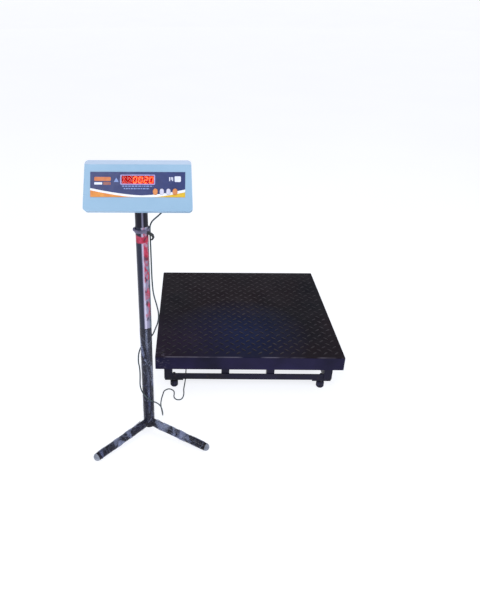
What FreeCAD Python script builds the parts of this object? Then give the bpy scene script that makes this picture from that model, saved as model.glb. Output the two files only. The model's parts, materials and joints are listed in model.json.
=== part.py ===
"""A pallet scale: a square weighing platform on a low frame, and its indicator on a tripod stand.

The frame of reference has +Z up, +X to the right and +Y away from the user who reads the display. The
origin is on the floor, under the middle of the whole object's box. All sizes are millimetres and degrees.
"""

import FreeCAD, Part
import math
import os
import re
import Sketcher

Vector = FreeCAD.Vector
SIDES = (("left", -1), ("right", 1))
ENDS = (("front", -1), ("back", 1))

# Driving dimensions: name, size, meaning
DIMENSIONS = (
    ("deck_side", 800, "side of the square deck"),
    ("deck_top", 188, "height of the load surface"),
    ("skirt_depth", 63, "depth of the folded skirt"),
    ("skirt_wall", 3, "sheet thickness of the skirt"),
    ("plate_thickness", 4, "thickness of the load plate"),
    ("fold_radius", 4, "outer radius of the folds"),
    ("deck_rail_width", 30, "width of the tubes under the deck"),
    ("deck_rail_height", 25, "height of the tubes under the deck"),
    ("deck_rail_play", 1, "gap between a deck tube's end and the skirt"),
    ("deck_rail_wall", 2.5, "wall of the tubes under the deck"),
    ("beam_width", 25, "width of a cross beam under the deck"),
    ("beam_offset", 116, "cross beam, from the deck's middle"),
    ("base_height", 45, "underside of the base frame"),
    ("base_side", 30, "side of the base frame's square tube and angle bars"),
    ("angle_wall", 3, "thickness of the front and back angle bars"),
    ("base_wall", 2.5, "wall of the base frame's square tube"),
    ("base_offset", 347, "middle line of the base tubes, from the deck's middle"),
    ("post_side", 35, "side of a corner post"),
    ("post_height", 66, "height of a corner post"),
    ("post_floor", 5, "closed bottom of a corner post"),
    ("post_radius", 6, "rounding of a corner post's bottom edges"),
    ("stop_width", 33, "width of an overload stop post"),
    ("stop_height", 101, "height of an overload stop post"),
    ("stop_offset", 98, "overload stop post, from the deck's middle"),
    ("stop_head", 8.4, "height of a stop bolt's head"),
    ("plate_length", 61, "length of a load cell's mounting plate"),
    ("plate_height", 10, "thickness of a load cell's mounting plate"),
    ("cell_length", 130, "length of a load cell"),
    ("cell_side", 28, "width and height of a load cell"),
    ("cell_bolt_outer", 352, "outer cell bolt, from the deck's middle"),
    ("cell_bolt_inner", 327, "inner cell bolt, from the deck's middle"),
    ("cell_load_point", 248, "loaded hole of a cell, from the deck's middle"),
    ("cell_hole_radius", 6.5, "radius of the holes in a load cell"),
    ("cell_bolt_radius", 6, "radius of a cell bolt's shank"),
    ("cell_bolt_head", 7.5, "height of a cell bolt's head"),
    ("button_radius", 13, "radius of a loading button's flange"),
    ("button_flange", 3, "thickness of a loading button's flange"),
    ("pad_radius", 12.5, "radius of a rubber mount pad"),
    ("pad_height", 5, "height of a rubber mount pad"),
    ("cup_radius", 18, "outer radius of a load cup"),
    ("cup_thickness", 2, "thickness of a load cup's top"),
    ("cup_lip", 3.5, "depth of a load cup's lip"),
    ("cup_bore", 14.5, "inner radius of a load cup's lip"),
    ("foot_offset", 322, "foot, left or right of the deck's middle"),
    ("foot_row", 345, "foot, in front of or behind the deck's middle"),
    ("foot_radius", 17, "radius of a levelling foot"),
    ("foot_body_height", 29, "height of a levelling foot's round body"),
    ("foot_stud_radius", 6, "radius of a foot's threaded stud"),
    ("foot_stud_top", 66, "top of a foot's threaded stud"),
    ("foot_plate_length", 80, "length of the plate that holds a foot"),
    ("foot_plate_width", 34, "width of the plate that holds a foot"),
    ("foot_plate_height", 6, "thickness of the plate that holds a foot"),
    ("thread_play", 0.05, "radial play of a shaft or thread in its hole"),
    ("box_near", 270, "near side of the junction box, in front of the deck's middle"),
    ("box_length", 110, "length of the junction box"),
    ("box_width", 70, "width of the junction box"),
    ("box_height", 38, "height of the junction box"),
    ("box_bottom", 46, "underside of the junction box"),
    ("cell_gland_level", 66, "height of the load cell glands on the junction box"),
    ("cell_gland_first", 16, "first load cell gland, from the junction box's left end"),
    ("cell_gland_pitch", 26, "distance from one load cell gland to the next"),
    ("signal_gland_level", 62, "height of the signal gland on the junction box"),
    ("signal_gland_side", 62, "signal gland, from the junction box's left end"),
    ("box_wall", 3, "side wall of the junction box"),
    ("box_end", 8, "thick end wall of the junction box"),
    ("lid_height", 4, "thickness of the junction box's lid"),
    ("cell_cable_radius", 2.5, "radius of a load cell's cable"),
    ("stand_left", 412, "pole, left of the deck's middle"),
    ("stand_front", 638, "pole, in front of the deck's middle"),
    ("pole_radius", 21.2, "outer radius of the pole"),
    ("pole_wall", 2.6, "wall of the pole"),
    ("pole_top", 936, "top of the pole"),
    ("leg_radius", 15, "radius of a stand leg"),
    ("leg_wall", 2, "wall of a stand leg"),
    ("leg_reach", 248, "pole axis to the start of a leg's rounded end"),
    ("leg_turn_left", 42, "how far the left leg is turned forward"),
    ("leg_turn_right", 26, "how far the right leg is turned forward"),
    ("leg_turn_back", 94, "direction of the back leg"),
    ("leg_drop", 8, "how steeply a leg slopes down from the pole"),
    ("sleeve_bottom", 488, "bottom of the printed sleeve on the pole"),
    ("sleeve_top", 873, "top of the printed sleeve on the pole"),
    ("sleeve_thickness", 0.4, "thickness of the printed sleeve"),
    ("strap_height", 16, "height of the cable strap"),
    ("strap_thickness", 4, "thickness of the cable strap"),
    ("strap_middle", 860, "height of the cable strap's middle"),
    ("head_tilt", 28, "how far the display leans back at rest"),
    ("pivot_height", 971, "height of the tilt axis"),
    ("pivot_depth", 100, "display face to the tilt axis"),
    ("pivot_rise", 60, "lower edge of the face to the tilt axis"),
    ("head_width", 333, "width of the housing at its lower edge"),
    ("head_top_width", 321, "width of the housing at its upper edge"),
    ("head_height", 156, "height of the housing"),
    ("head_radius", 12, "corner radius of the housing"),
    ("bevel_drop", 15, "height of the bevel along the upper edge"),
    ("bevel_depth", 10, "depth of the bevel along the upper edge"),
    ("front_depth", 34, "depth of the front shell"),
    ("rear_depth", 40, "depth of the rear shell"),
    ("shell_wall", 3, "wall of the housing"),
    ("rear_taper", 14, "inward slope of the rear shell's sides"),
    ("overlay_width", 286, "width of the printed panel"),
    ("overlay_height", 76, "height of the printed panel"),
    ("overlay_thickness", 0.8, "thickness of the printed panel"),
    ("overlay_middle", 80.5, "middle of the printed panel above the lower edge"),
    ("window_width", 103, "width of the display window"),
    ("window_height", 29, "height of the display window"),
    ("window_middle", 95, "middle of the display window above the lower edge"),
    ("window_depth", 2.4, "thickness of the display window"),
    ("window_play", 0.1, "gap round the display window"),
    ("key_width", 14, "width of a key"),
    ("key_height", 19, "height of a key"),
    ("key_play", 0.4, "gap round a key"),
    ("key_first", 53, "first key, right of the housing's middle"),
    ("key_pitch", 19.8, "distance from one key to the next"),
    ("key_middle", 59, "middle of the keys above the lower edge"),
    ("key_proud", 1.6, "how far a key stands out of the face"),
    ("key_radius", 4, "corner radius of a key"),
    ("digit_width", 13.4, "width of a digit"),
    ("digit_height", 23, "height of a digit"),
    ("digit_pitch", 16.3, "distance from one digit to the next"),
    ("board_thickness", 1.6, "thickness of a circuit board"),
    ("bracket_width", 80, "width of the tilt bracket's plate"),
    ("bracket_thickness", 4, "thickness of the tilt bracket's plate"),
    ("ear_thickness", 3.5, "thickness of a bracket ear"),
    ("ear_radius", 14, "rounding of a bracket ear about the tilt axis"),
    ("tongue_half", 11, "half the width of the pole cap's tongue"),
    ("tongue_play", 0.25, "gap between the tongue and an ear"),
    ("tilt_bolt_radius", 6, "radius of the tilt bolt's shank"),
    ("knob_radius", 12, "radius of the tilt knob's hub"),
    ("knob_length", 18, "length of the tilt knob"),
    ("lobe_radius", 5, "radius of a lobe of the tilt knob"),
    ("rocker_tilt", 10, "how far the power rocker leans at rest"),
    ("gland_side", 75, "cable gland, right of the housing's middle"),
    ("gland_rise", 25, "cable gland above the housing's lower edge"),
    ("cable_radius", 2.5, "radius of the signal cable"),
)

# The signal cable's route below the strap, from the pole's axis on the floor: x, y, z
CABLE_ROUTE = (
    (26.5, 0, 862), (26.5, 0, 832), (27.2, -1.0, 786), (27.5, 0.5, 730), (28.0, -0.5, 672), (31.0, 1.0, 618),
    (41.0, 1.5, 578), (49.0, -1.0, 538), (45.0, 1.0, 502), (33.0, 5.0, 470), (25.0, 17.0, 442), (9.0, 30.0, 416),
    (-15.0, 29.0, 394), (-30.5, 12.0, 368), (-32.0, -6.0, 335), (-29.0, 8.0, 298), (-29.0, 11.0, 256),
    (-30.0, -9.0, 220), (-12.0, -31.5, 197), (14.0, -32.0, 172), (34.0, -14.0, 150), (48.0, 10.0, 112),
    (52.0, 34.0, 62), (50.0, 62.0, 20), (46.0, 104.0, 2.5), (36.0, 152.0, 2.5), (38.0, 194.0, 2.5),
    (43.0, 222.0, 2.5), (46.0, 247.0, 2.5), (68.5, 264.0, 2.5), (91.0, 247.0, 2.5), (92.0, 225.0, 2.5),
    (90.0, 204.0, 2.5), (101.0, 186.0, 2.5), (121.0, 186.0, 2.5), (131.0, 204.0, 2.5), (134.0, 230.0, 2.5),
    (132.0, 260.0, 2.5), (136.0, 288.0, 6.0), (139.5, 310.0, 20.0), (141.0, 322.0, 40.0), (142.0, 334.0, 62.0),
    (142.0, 355.0, 62.0),
)

doc = FreeCAD.newDocument("pallet_scale")
dims = doc.addObject("Spreadsheet::Sheet", "dims")
parts = []


# ---------------------------------------------------------------- the sheet

def linked(expression):
    """The expression with the sheet's name put before each of its aliases."""
    return re.sub(r"[a-z]+(?:_[a-z]+)+", lambda found: "dims." + found.group(), str(expression))


def value(expression):
    """The number that an expression over the sheet gives."""
    return float(dims.evalExpression(linked(expression)))


def bind(thing, name, expression):
    thing.setExpression(name, linked(expression))


def fill_sheet():
    """Puts the driving dimensions and the places worked out from them into the sheet."""
    rows = list(DIMENSIONS)
    size = {name: number for name, number, meaning in DIMENSIONS}
    forward = math.radians(size["leg_turn_left"])
    reach = size["leg_reach"] * math.cos(math.radians(size["leg_drop"]))
    half = size["deck_side"] / 2
    low_x = -size["stand_left"] - reach * math.cos(forward) - size["leg_radius"]
    low_y = -size["stand_front"] - reach * math.sin(forward) - size["leg_radius"]
    deck_x = -(low_x + half) / 2
    deck_y = -(low_y + half) / 2
    tilt = math.radians(size["head_tilt"])
    depth = size["pivot_depth"]
    rise = size["pivot_rise"]
    head_y = deck_y - size["stand_front"] - depth * math.cos(tilt) - rise * math.sin(tilt)
    head_z = size["pivot_height"] + depth * math.sin(tilt) - rise * math.cos(tilt)
    leg_hub = size["leg_radius"] + size["leg_reach"] * math.sin(math.radians(size["leg_drop"]))
    rows.append(("leg_hub", leg_hub, "height of the legs' meeting point"))
    rows.append(("pole_bottom", leg_hub - size["leg_radius"] - 2, "lower end of the pole"))
    rows.append(("deck_x", deck_x, "deck's middle"))
    rows.append(("deck_y", deck_y, "deck's middle"))
    rows.append(("stand_x", deck_x - size["stand_left"], "pole's axis"))
    rows.append(("stand_y", deck_y - size["stand_front"], "pole's axis"))
    rows.append(("head_y", head_y, "middle of the display face's lower edge"))
    rows.append(("head_z", head_z, "middle of the display face's lower edge"))
    for row, (name, number, meaning) in enumerate(rows, start=1):
        dims.set(f"A{row}", meaning)
        dims.set(f"B{row}", str(number))
        dims.setAlias(f"B{row}", name)
    doc.recompute()


# ---------------------------------------------------------------- placing

def place(thing, at):
    for axis, expression in zip("xyz", at):
        bind(thing, f"Placement.Base.{axis}", expression)
    return thing


def on_deck(x, y, z):
    """A place counted from the deck's middle on the floor."""
    return (f"deck_x + ({x})", f"deck_y + ({y})", z)


def on_stand(x, y, z):
    """A place counted from the pole's axis on the floor."""
    return (f"stand_x + ({x})", f"stand_y + ({y})", z)


def on_head(thing):
    """Leans a piece back with the display; it is modelled with its face in the plane y = 0."""
    thing.Placement = FreeCAD.Placement(Vector(), FreeCAD.Rotation(Vector(1, 0, 0), -1))
    bind(thing, "Placement.Rotation.Angle", "-head_tilt")
    place(thing, ("stand_x", "head_y", "head_z"))
    return keep(thing)


def keep(thing, label=None):
    """Names a finished sub-part."""
    thing.Label = label or thing.Name
    parts.append(thing)
    return thing


# ---------------------------------------------------------------- primitives

def block(name, size, at=(0, 0, 0)):
    """A box whose bottom face is centred at a place."""
    thing = doc.addObject("Part::Box", name)
    for side, expression in zip(("Length", "Width", "Height"), size):
        bind(thing, side, expression)
    place(thing, (f"{at[0]} - ({size[0]}) / 2", f"{at[1]} - ({size[1]}) / 2", at[2]))
    return thing


def rod(name, radius, length, at=(0, 0, 0), axis="z"):
    """A cylinder that starts at a place and runs along an axis."""
    thing = doc.addObject("Part::Cylinder", name)
    bind(thing, "Radius", radius)
    bind(thing, "Height", length)
    lean = {"x": (Vector(0, 1, 0), 90), "y": (Vector(1, 0, 0), -90), "z": (Vector(0, 0, 1), 0)}[axis]
    thing.Placement = FreeCAD.Placement(Vector(), FreeCAD.Rotation(*lean))
    return place(thing, at)


def hexagon(name, radius, length, at=(0, 0, 0), axis="z"):
    """A six-sided prism that starts at a place and runs along an axis."""
    thing = doc.addObject("Part::Prism", name)
    thing.Polygon = 6
    bind(thing, "Circumradius", radius)
    bind(thing, "Height", length)
    lean = {"x": (Vector(0, 1, 0), 90), "y": (Vector(1, 0, 0), -90), "z": (Vector(0, 0, 1), 0)}[axis]
    thing.Placement = FreeCAD.Placement(Vector(), FreeCAD.Rotation(*lean))
    return place(thing, at)


def joined(name, *things):
    whole = doc.addObject("Part::MultiFuse", name)
    whole.Shapes = list(things)
    return whole


def cut(name, base, *tools):
    whole = doc.addObject("Part::Cut", name)
    whole.Base = base
    whole.Tool = tools[0] if len(tools) == 1 else joined(name + "_tools", *tools)
    return whole


def group(name, things):
    """Several separate solids that make one sub-part."""
    whole = doc.addObject("Part::Compound", name)
    whole.Links = list(things)
    return whole


# ---------------------------------------------------------------- bodies made from sketches

def sketch(owner, role, offset=0):
    """An empty sketch on one of a body's own planes, moved along the plane's normal."""
    drawing = owner.newObject("Sketcher::SketchObject", owner.Name + "_sketch")
    plane = next(item for item in owner.Origin.OriginFeatures if item.Role == role)
    drawing.AttachmentSupport = [(plane, "")]
    drawing.MapMode = "FlatFace"
    drawing.AttachmentOffset = FreeCAD.Placement(Vector(0, 0, value(offset)), FreeCAD.Rotation())
    bind(drawing, "AttachmentOffset.Base.z", offset)
    return drawing


def dimension(drawing, kind, geometry, point, expression):
    """Ties one coordinate of a point to the sheet."""
    index = drawing.addConstraint(
        Sketcher.Constraint(kind, -1, 1, geometry, point, value(expression)))
    bind(drawing, f"Constraints[{index}]", expression)


def outline(drawing, points):
    """A closed outline of straight edges with every corner tied to the sheet."""
    corners = [Vector(value(x), value(y), 0) for x, y in points]
    first = drawing.GeometryCount
    count = len(points)
    for i in range(count):
        drawing.addGeometry(Part.LineSegment(corners[i], corners[(i + 1) % count]), False)
    for i in range(count):
        following = first + (i + 1) % count
        drawing.addConstraint(Sketcher.Constraint("Coincident", first + i, 2, following, 1))
    for i, (x, y) in enumerate(points):
        dimension(drawing, "DistanceX", first + i, 1, x)
        dimension(drawing, "DistanceY", first + i, 1, y)


def rectangle(drawing, width, height, x=0, y=0):
    signs = ((-1, -1), (1, -1), (1, 1), (-1, 1))
    outline(drawing, [(f"{x} + {i} * ({width}) / 2", f"{y} + {j} * ({height}) / 2") for i, j in signs])


def circle(drawing, radius, x=0, y=0):
    index = drawing.addGeometry(Part.Circle(Vector(value(x), value(y), 0), Vector(0, 0, 1), value(radius)), False)
    dimension(drawing, "DistanceX", index, 3, x)
    dimension(drawing, "DistanceY", index, 3, y)
    size = drawing.addConstraint(Sketcher.Constraint("Radius", index, value(radius)))
    bind(drawing, f"Constraints[{size}]", radius)


def body(name):
    return doc.addObject("PartDesign::Body", name)


def pad(owner, drawing, length, towards_normal=True, middle=False, taper=0):
    feature = owner.newObject("PartDesign::Pad", owner.Name + "_pad")
    feature.Profile = drawing
    feature.SideType = "Symmetric" if middle else "One side"
    feature.Reversed = not towards_normal
    feature.TaperAngle = -value(taper)
    bind(feature, "Length", length)
    return feature


def pocket(owner, drawing, depth, towards_normal=False, middle=False, taper=0):
    """Cuts a sketch into a body, and stops the build if nothing was cut."""
    doc.recompute()
    before = owner.Shape.Volume
    feature = owner.newObject("PartDesign::Pocket", owner.Name + "_pocket")
    feature.Profile = drawing
    feature.SideType = "Symmetric" if middle else "One side"
    feature.Reversed = towards_normal
    feature.TaperAngle = -value(taper)
    bind(feature, "Length", depth)
    doc.recompute()
    if not owner.Shape.Volume < before - 1e-6:
        raise RuntimeError(f"a pocket in {owner.Name} cuts nothing")
    return feature


def soften(owner, feature, radius, wanted):
    """Rounds the edges of a feature for which wanted(edge) is true."""
    doc.recompute()
    names = [f"Edge{i}" for i, edge in enumerate(feature.Shape.Edges, start=1) if wanted(edge)]
    fillet = owner.newObject("PartDesign::Fillet", owner.Name + "_fillet")
    fillet.Base = (feature, names)
    bind(fillet, "Radius", radius)
    return fillet


def along(axis):
    """A test for straight edges that run along an axis."""
    def test(edge):
        if len(edge.Vertexes) != 2:
            return False
        run = edge.Vertexes[1].Point - edge.Vertexes[0].Point
        return abs(abs(run.normalize().dot(axis)) - 1) < 1e-6
    return test


def at_level(axis, level):
    """A test for edges that lie wholly at one level along an axis."""
    def test(edge):
        return all(abs(corner.Point.dot(axis) - level) < 1e-4 for corner in edge.Vertexes)
    return test


def square_tube(name, axis, width, height, wall, length):
    """A rectangular tube about its own middle, along x or y."""
    owner = body(name)
    drawing = sketch(owner, {"x": "YZ_Plane", "y": "XZ_Plane"}[axis])
    rectangle(drawing, width, height)
    rectangle(drawing, f"{width} - 2 * {wall}", f"{height} - 2 * {wall}")
    pad(owner, drawing, length, middle=True)
    return owner


def turned(name, points):
    """A solid turned about its own vertical axis from an outline of radius and height."""
    owner = body(name)
    drawing = sketch(owner, "XZ_Plane")
    outline(drawing, points)
    feature = owner.newObject("PartDesign::Revolution", name + "_turn")
    feature.Profile = drawing
    feature.ReferenceAxis = (drawing, ["V_Axis"])
    feature.Angle = 360
    return owner


# ---------------------------------------------------------------- cords

def route_wire(points):
    """Straight runs joined by tangent arcs, as large as 0.45 of the shorter run allows."""
    points = [Vector(*point) for point in points]
    edges = []
    radii = []
    start = points[0]
    for before, corner, after in zip(points, points[1:], points[2:]):
        back = before - corner
        forward = after - corner
        turn = math.pi - back.getAngle(forward)
        reach = 0.45 * min(back.Length, forward.Length)
        radii.append(reach / math.tan(turn / 2))
        back.normalize()
        forward.normalize()
        entry = corner + back * reach
        leaving = corner + forward * reach
        inward = (back + forward).normalize()
        middle = corner + inward * (radii[-1] / math.cos(turn / 2) - radii[-1])
        edges.append(Part.LineSegment(start, entry).toShape())
        edges.append(Part.Arc(entry, middle, leaving).toShape())
        start = leaving
    edges.append(Part.LineSegment(start, points[-1]).toShape())
    return Part.Wire(edges), radii


def tube(name, radius, points):
    """A round cord along a route; it prints its length and smallest radius."""
    wire, radii = route_wire(points)
    begin = Vector(*points[0])
    heading = Vector(*points[1]) - begin
    section = Part.Wire(Part.Circle(begin, heading, radius).toShape())
    solid = wire.makePipeShell([section], True, True)
    expected = math.pi * radius ** 2 * wire.Length
    print(f"{name}: length {wire.Length:.0f} mm, smallest radius {min(radii):.1f} mm,"
          f" volume {solid.Volume / expected:.4f} of section times length")
    return solid


def cord(name, shape):
    thing = doc.addObject("Part::Feature", name)
    thing.Shape = shape
    thing.Placement = FreeCAD.Placement()
    return keep(thing)


# ---------------------------------------------------------------- deck

def deck_plate():
    owner = body("deck_plate")
    drawing = sketch(owner, "XY_Plane")
    rectangle(drawing, "deck_side", "deck_side")
    tray = pad(owner, drawing, "skirt_depth")
    up = Vector(0, 0, 1)
    top = value("skirt_depth")
    soften(owner, tray, "fold_radius", lambda edge: along(up)(edge) or at_level(up, top)(edge))
    inside = sketch(owner, "XY_Plane")
    rectangle(inside, "deck_side - 2 * skirt_wall", "deck_side - 2 * skirt_wall")
    pocket(owner, inside, "skirt_depth - plate_thickness", towards_normal=True)
    place(owner, on_deck(0, 0, "deck_top - skirt_depth"))
    keep(owner)


def deck_frame():
    """The tubes that are welded under the plate, and the cups that sit on the load cells."""
    middle = "deck_top - plate_thickness - deck_rail_height / 2"
    rails = []
    for end, sign in ENDS:
        rail = square_tube(f"deck_rail_{end}", "x", "deck_rail_width", "deck_rail_height", "deck_rail_wall",
                           "deck_side - 2 * skirt_wall - 2 * deck_rail_play")
        rails.append(place(rail, on_deck(0, f"{sign} * base_offset", middle)))
    between = "2 * base_offset - deck_rail_width"
    for side, sign in SIDES:
        rail = square_tube(f"deck_rail_{side}", "y", "deck_rail_width", "deck_rail_height", "deck_rail_wall",
                           between)
        rails.append(place(rail, on_deck(f"{sign} * base_offset", 0, middle)))
    keep(group("deck_rails", rails))
    beams = []
    for side, sign in SIDES:
        beam = square_tube(f"deck_beam_{side}", "y", "beam_width", "deck_rail_height", "deck_rail_wall", between)
        beams.append(place(beam, on_deck(f"{sign} * beam_offset", 0, middle)))
    keep(group("deck_cross_beams", beams))
    cups = []
    for end, back in ENDS:
        for side, right in SIDES:
            cup = turned(f"load_cup_{end}_{side}", [
                (0, 0), ("cup_radius", 0), ("cup_radius", "-cup_thickness - cup_lip"),
                ("cup_bore", "-cup_thickness - cup_lip"), ("cup_bore", "-cup_thickness"),
                (0, "-cup_thickness")])
            cups.append(place(cup, on_deck(f"{right} * cell_load_point", f"{back} * base_offset",
                                           "deck_top - plate_thickness - deck_rail_height")))
    keep(group("load_cups", cups))


# ---------------------------------------------------------------- base frame

def base_frame():
    middle = "base_height + base_side / 2"
    length = "2 * base_offset - post_side"
    rails = []
    for end, sign in ENDS:
        rail = angle_bar(f"base_rail_{end}", sign, length)
        rails.append(place(rail, on_deck(0, f"{sign} * base_offset", middle)))
    for side, sign in SIDES:
        rail = square_tube(f"base_rail_{side}", "y", "base_side", "base_side", "base_wall", length)
        rails.append(place(rail, on_deck(f"{sign} * base_offset", 0, middle)))
    keep(group("base_rails", rails))
    member = square_tube("base_cross_member", "x", "base_side", "base_side", "base_wall",
                         "2 * base_offset - base_side")
    keep(place(member, on_deck(0, 0, middle)))


def angle_bar(name, outward, length):
    """An angle bar along x, with one leg upright on its outer side and the other flat at its bottom."""
    owner = body(name)
    drawing = sketch(owner, "YZ_Plane")
    half = "base_side / 2"
    face = f"{outward} * {half}"
    back = f"{outward} * ({half} - angle_wall)"
    outline(drawing, [(face, f"-{half}"), (f"-({face})", f"-{half}"), (f"-({face})", f"angle_wall - {half}"),
                      (back, f"angle_wall - {half}"), (back, half), (face, half)])
    pad(owner, drawing, length, middle=True)
    holes = sketch(owner, "XY_Plane", f"-{half}")
    for side, right in SIDES:
        circle(holes, "foot_stud_radius + thread_play", f"{right} * foot_offset",
               f"{outward} * (foot_row - base_offset)")
    pocket(owner, holes, "angle_wall", towards_normal=True)
    return owner


def corner_posts():
    posts = []
    for end, back in ENDS:
        for side, right in SIDES:
            post = body(f"corner_post_{end}_{side}")
            drawing = sketch(post, "XY_Plane")
            rectangle(drawing, "post_side", "post_side")
            stem = pad(post, drawing, "post_height")
            soften(post, stem, "post_radius", at_level(Vector(0, 0, 1), 0))
            inside = sketch(post, "XY_Plane", "post_height")
            rectangle(inside, "post_side - 2 * base_wall", "post_side - 2 * base_wall")
            pocket(post, inside, "post_height - post_floor")
            posts.append(place(post, on_deck(f"{right} * base_offset", f"{back} * base_offset", "base_height")))
    keep(group("corner_posts", posts))


def overload_stops():
    """Short posts with a set bolt each, which the deck meets when it is overloaded."""
    posts = []
    bolts = []
    for end, back in ENDS:
        for side, right in SIDES:
            post = body(f"stop_post_{end}_{side}")
            drawing = sketch(post, "XY_Plane")
            rectangle(drawing, "stop_width", "base_side - angle_wall")
            circle(drawing, "4.25 + thread_play")
            pad(post, drawing, "stop_height")
            x = f"{right} * stop_offset"
            y = f"{back} * (base_offset - angle_wall / 2)"
            low = "base_height + angle_wall"
            posts.append(place(post, on_deck(x, y, low)))
            high = f"{low} + stop_height"
            head = hexagon(f"stop_head_{end}_{side}", 9.8, "stop_head", on_deck(x, y, high))
            shank = rod(f"stop_shank_{end}_{side}", 4.25, 25, on_deck(x, y, f"{high} - 24"))
            bolts.append(joined(f"stop_bolt_{end}_{side}", head, shank))
    keep(group("stop_posts", posts))
    keep(group("stop_bolts", bolts))


# ---------------------------------------------------------------- load cells

def load_cells():
    bottom = "base_height + post_height + plate_height"
    plates = []
    cells = []
    bolts = []
    buttons = []
    pads = []
    for end, back in ENDS:
        for side, right in SIDES:
            corner = f"{end}_{side}"
            y = f"{back} * base_offset"
            outer = "(base_offset + post_side / 2)"
            plate = body(f"cell_plate_{corner}")
            drawing = sketch(plate, "XY_Plane")
            rectangle(drawing, "plate_length", "post_side")
            for bolt in ("cell_bolt_outer", "cell_bolt_inner"):
                circle(drawing, "cell_bolt_radius + thread_play",
                       f"{right} * ({bolt} - {outer} + plate_length / 2)")
            pad(plate, drawing, "plate_height")
            plates.append(place(plate, on_deck(f"{right} * ({outer} - plate_length / 2)", y,
                                               "base_height + post_height")))
            cell = body(f"load_cell_{corner}")
            drawing = sketch(cell, "XY_Plane")
            rectangle(drawing, "cell_length", "cell_side")
            for hole in ("cell_bolt_outer", "cell_bolt_inner", "cell_load_point"):
                circle(drawing, "cell_hole_radius", f"{right} * ({hole} - {outer} + cell_length / 2)")
            pad(cell, drawing, "cell_side")
            for sign in (-1, 1):
                web = sketch(cell, "XZ_Plane", f"{sign} * cell_side / 2")
                circle(web, 10, f"{-6 * right}", "cell_side / 2")
                pocket(cell, web, 7, towards_normal=sign < 0)
            cells.append(place(cell, on_deck(f"{right} * ({outer} - cell_length / 2)", y, bottom)))
            for bolt in ("cell_bolt_outer", "cell_bolt_inner"):
                name = f"{bolt}_{corner}"
                x = f"{right} * {bolt}"
                head = hexagon(name + "_head", 10.4, "cell_bolt_head", on_deck(x, y, f"{bottom} + cell_side"))
                shank = rod(name + "_shank", "cell_bolt_radius", "cell_side + 9",
                            on_deck(x, y, f"{bottom} - 8"))
                bolts.append(joined(name, head, shank))
            x = f"{right} * cell_load_point"
            button = turned(f"load_button_{corner}", [
                (0, -24), ("cell_hole_radius - 0.1", -24), ("cell_hole_radius - 0.1", 0), ("button_radius", 0),
                ("button_radius", "button_flange"), (0, "button_flange")])
            buttons.append(place(button, on_deck(x, y, f"{bottom} + cell_side")))
            pads.append(rod(f"load_pad_{corner}", "pad_radius", "pad_height",
                            on_deck(x, y, f"{bottom} + cell_side + button_flange")))
    keep(group("cell_plates", plates))
    keep(group("load_cells", cells))
    keep(group("cell_bolts", bolts))
    keep(group("load_buttons", buttons))
    keep(group("load_pads", pads))


# ---------------------------------------------------------------- levelling feet

def feet():
    plates = []
    nuts = []
    for end, back in ENDS:
        for side, right in SIDES:
            corner = f"{end}_{side}"
            x = f"{right} * foot_offset"
            y = f"{back} * foot_row"
            hole = "foot_stud_radius + thread_play"
            plate = body(f"foot_plate_{corner}")
            drawing = sketch(plate, "XY_Plane")
            rectangle(drawing, "foot_plate_length", "foot_plate_width")
            circle(drawing, hole)
            pad(plate, drawing, "foot_plate_height")
            plates.append(place(plate, on_deck(x, y, "base_height - foot_plate_height")))
            blank = hexagon(f"foot_nut_{corner}_blank", 11, 6)
            nut = cut(f"foot_nut_{corner}", blank, rod(f"foot_nut_{corner}_bore", hole, 6))
            nuts.append(place(nut, on_deck(x, y, "base_height - foot_plate_height - 6")))
            foot = turned(f"foot_{corner}", [
                (0, 0), ("foot_radius - 3", 0), ("foot_radius", 5), ("foot_radius", "foot_body_height - 6"),
                ("foot_radius - 5", "foot_body_height"), ("foot_stud_radius", "foot_body_height"),
                ("foot_stud_radius", "foot_stud_top"), (0, "foot_stud_top")])
            keep(place(foot, on_deck(x, y, 0)))
    keep(group("foot_plates", plates))
    keep(group("foot_nuts", nuts))


# ---------------------------------------------------------------- junction box and cell cables

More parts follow.
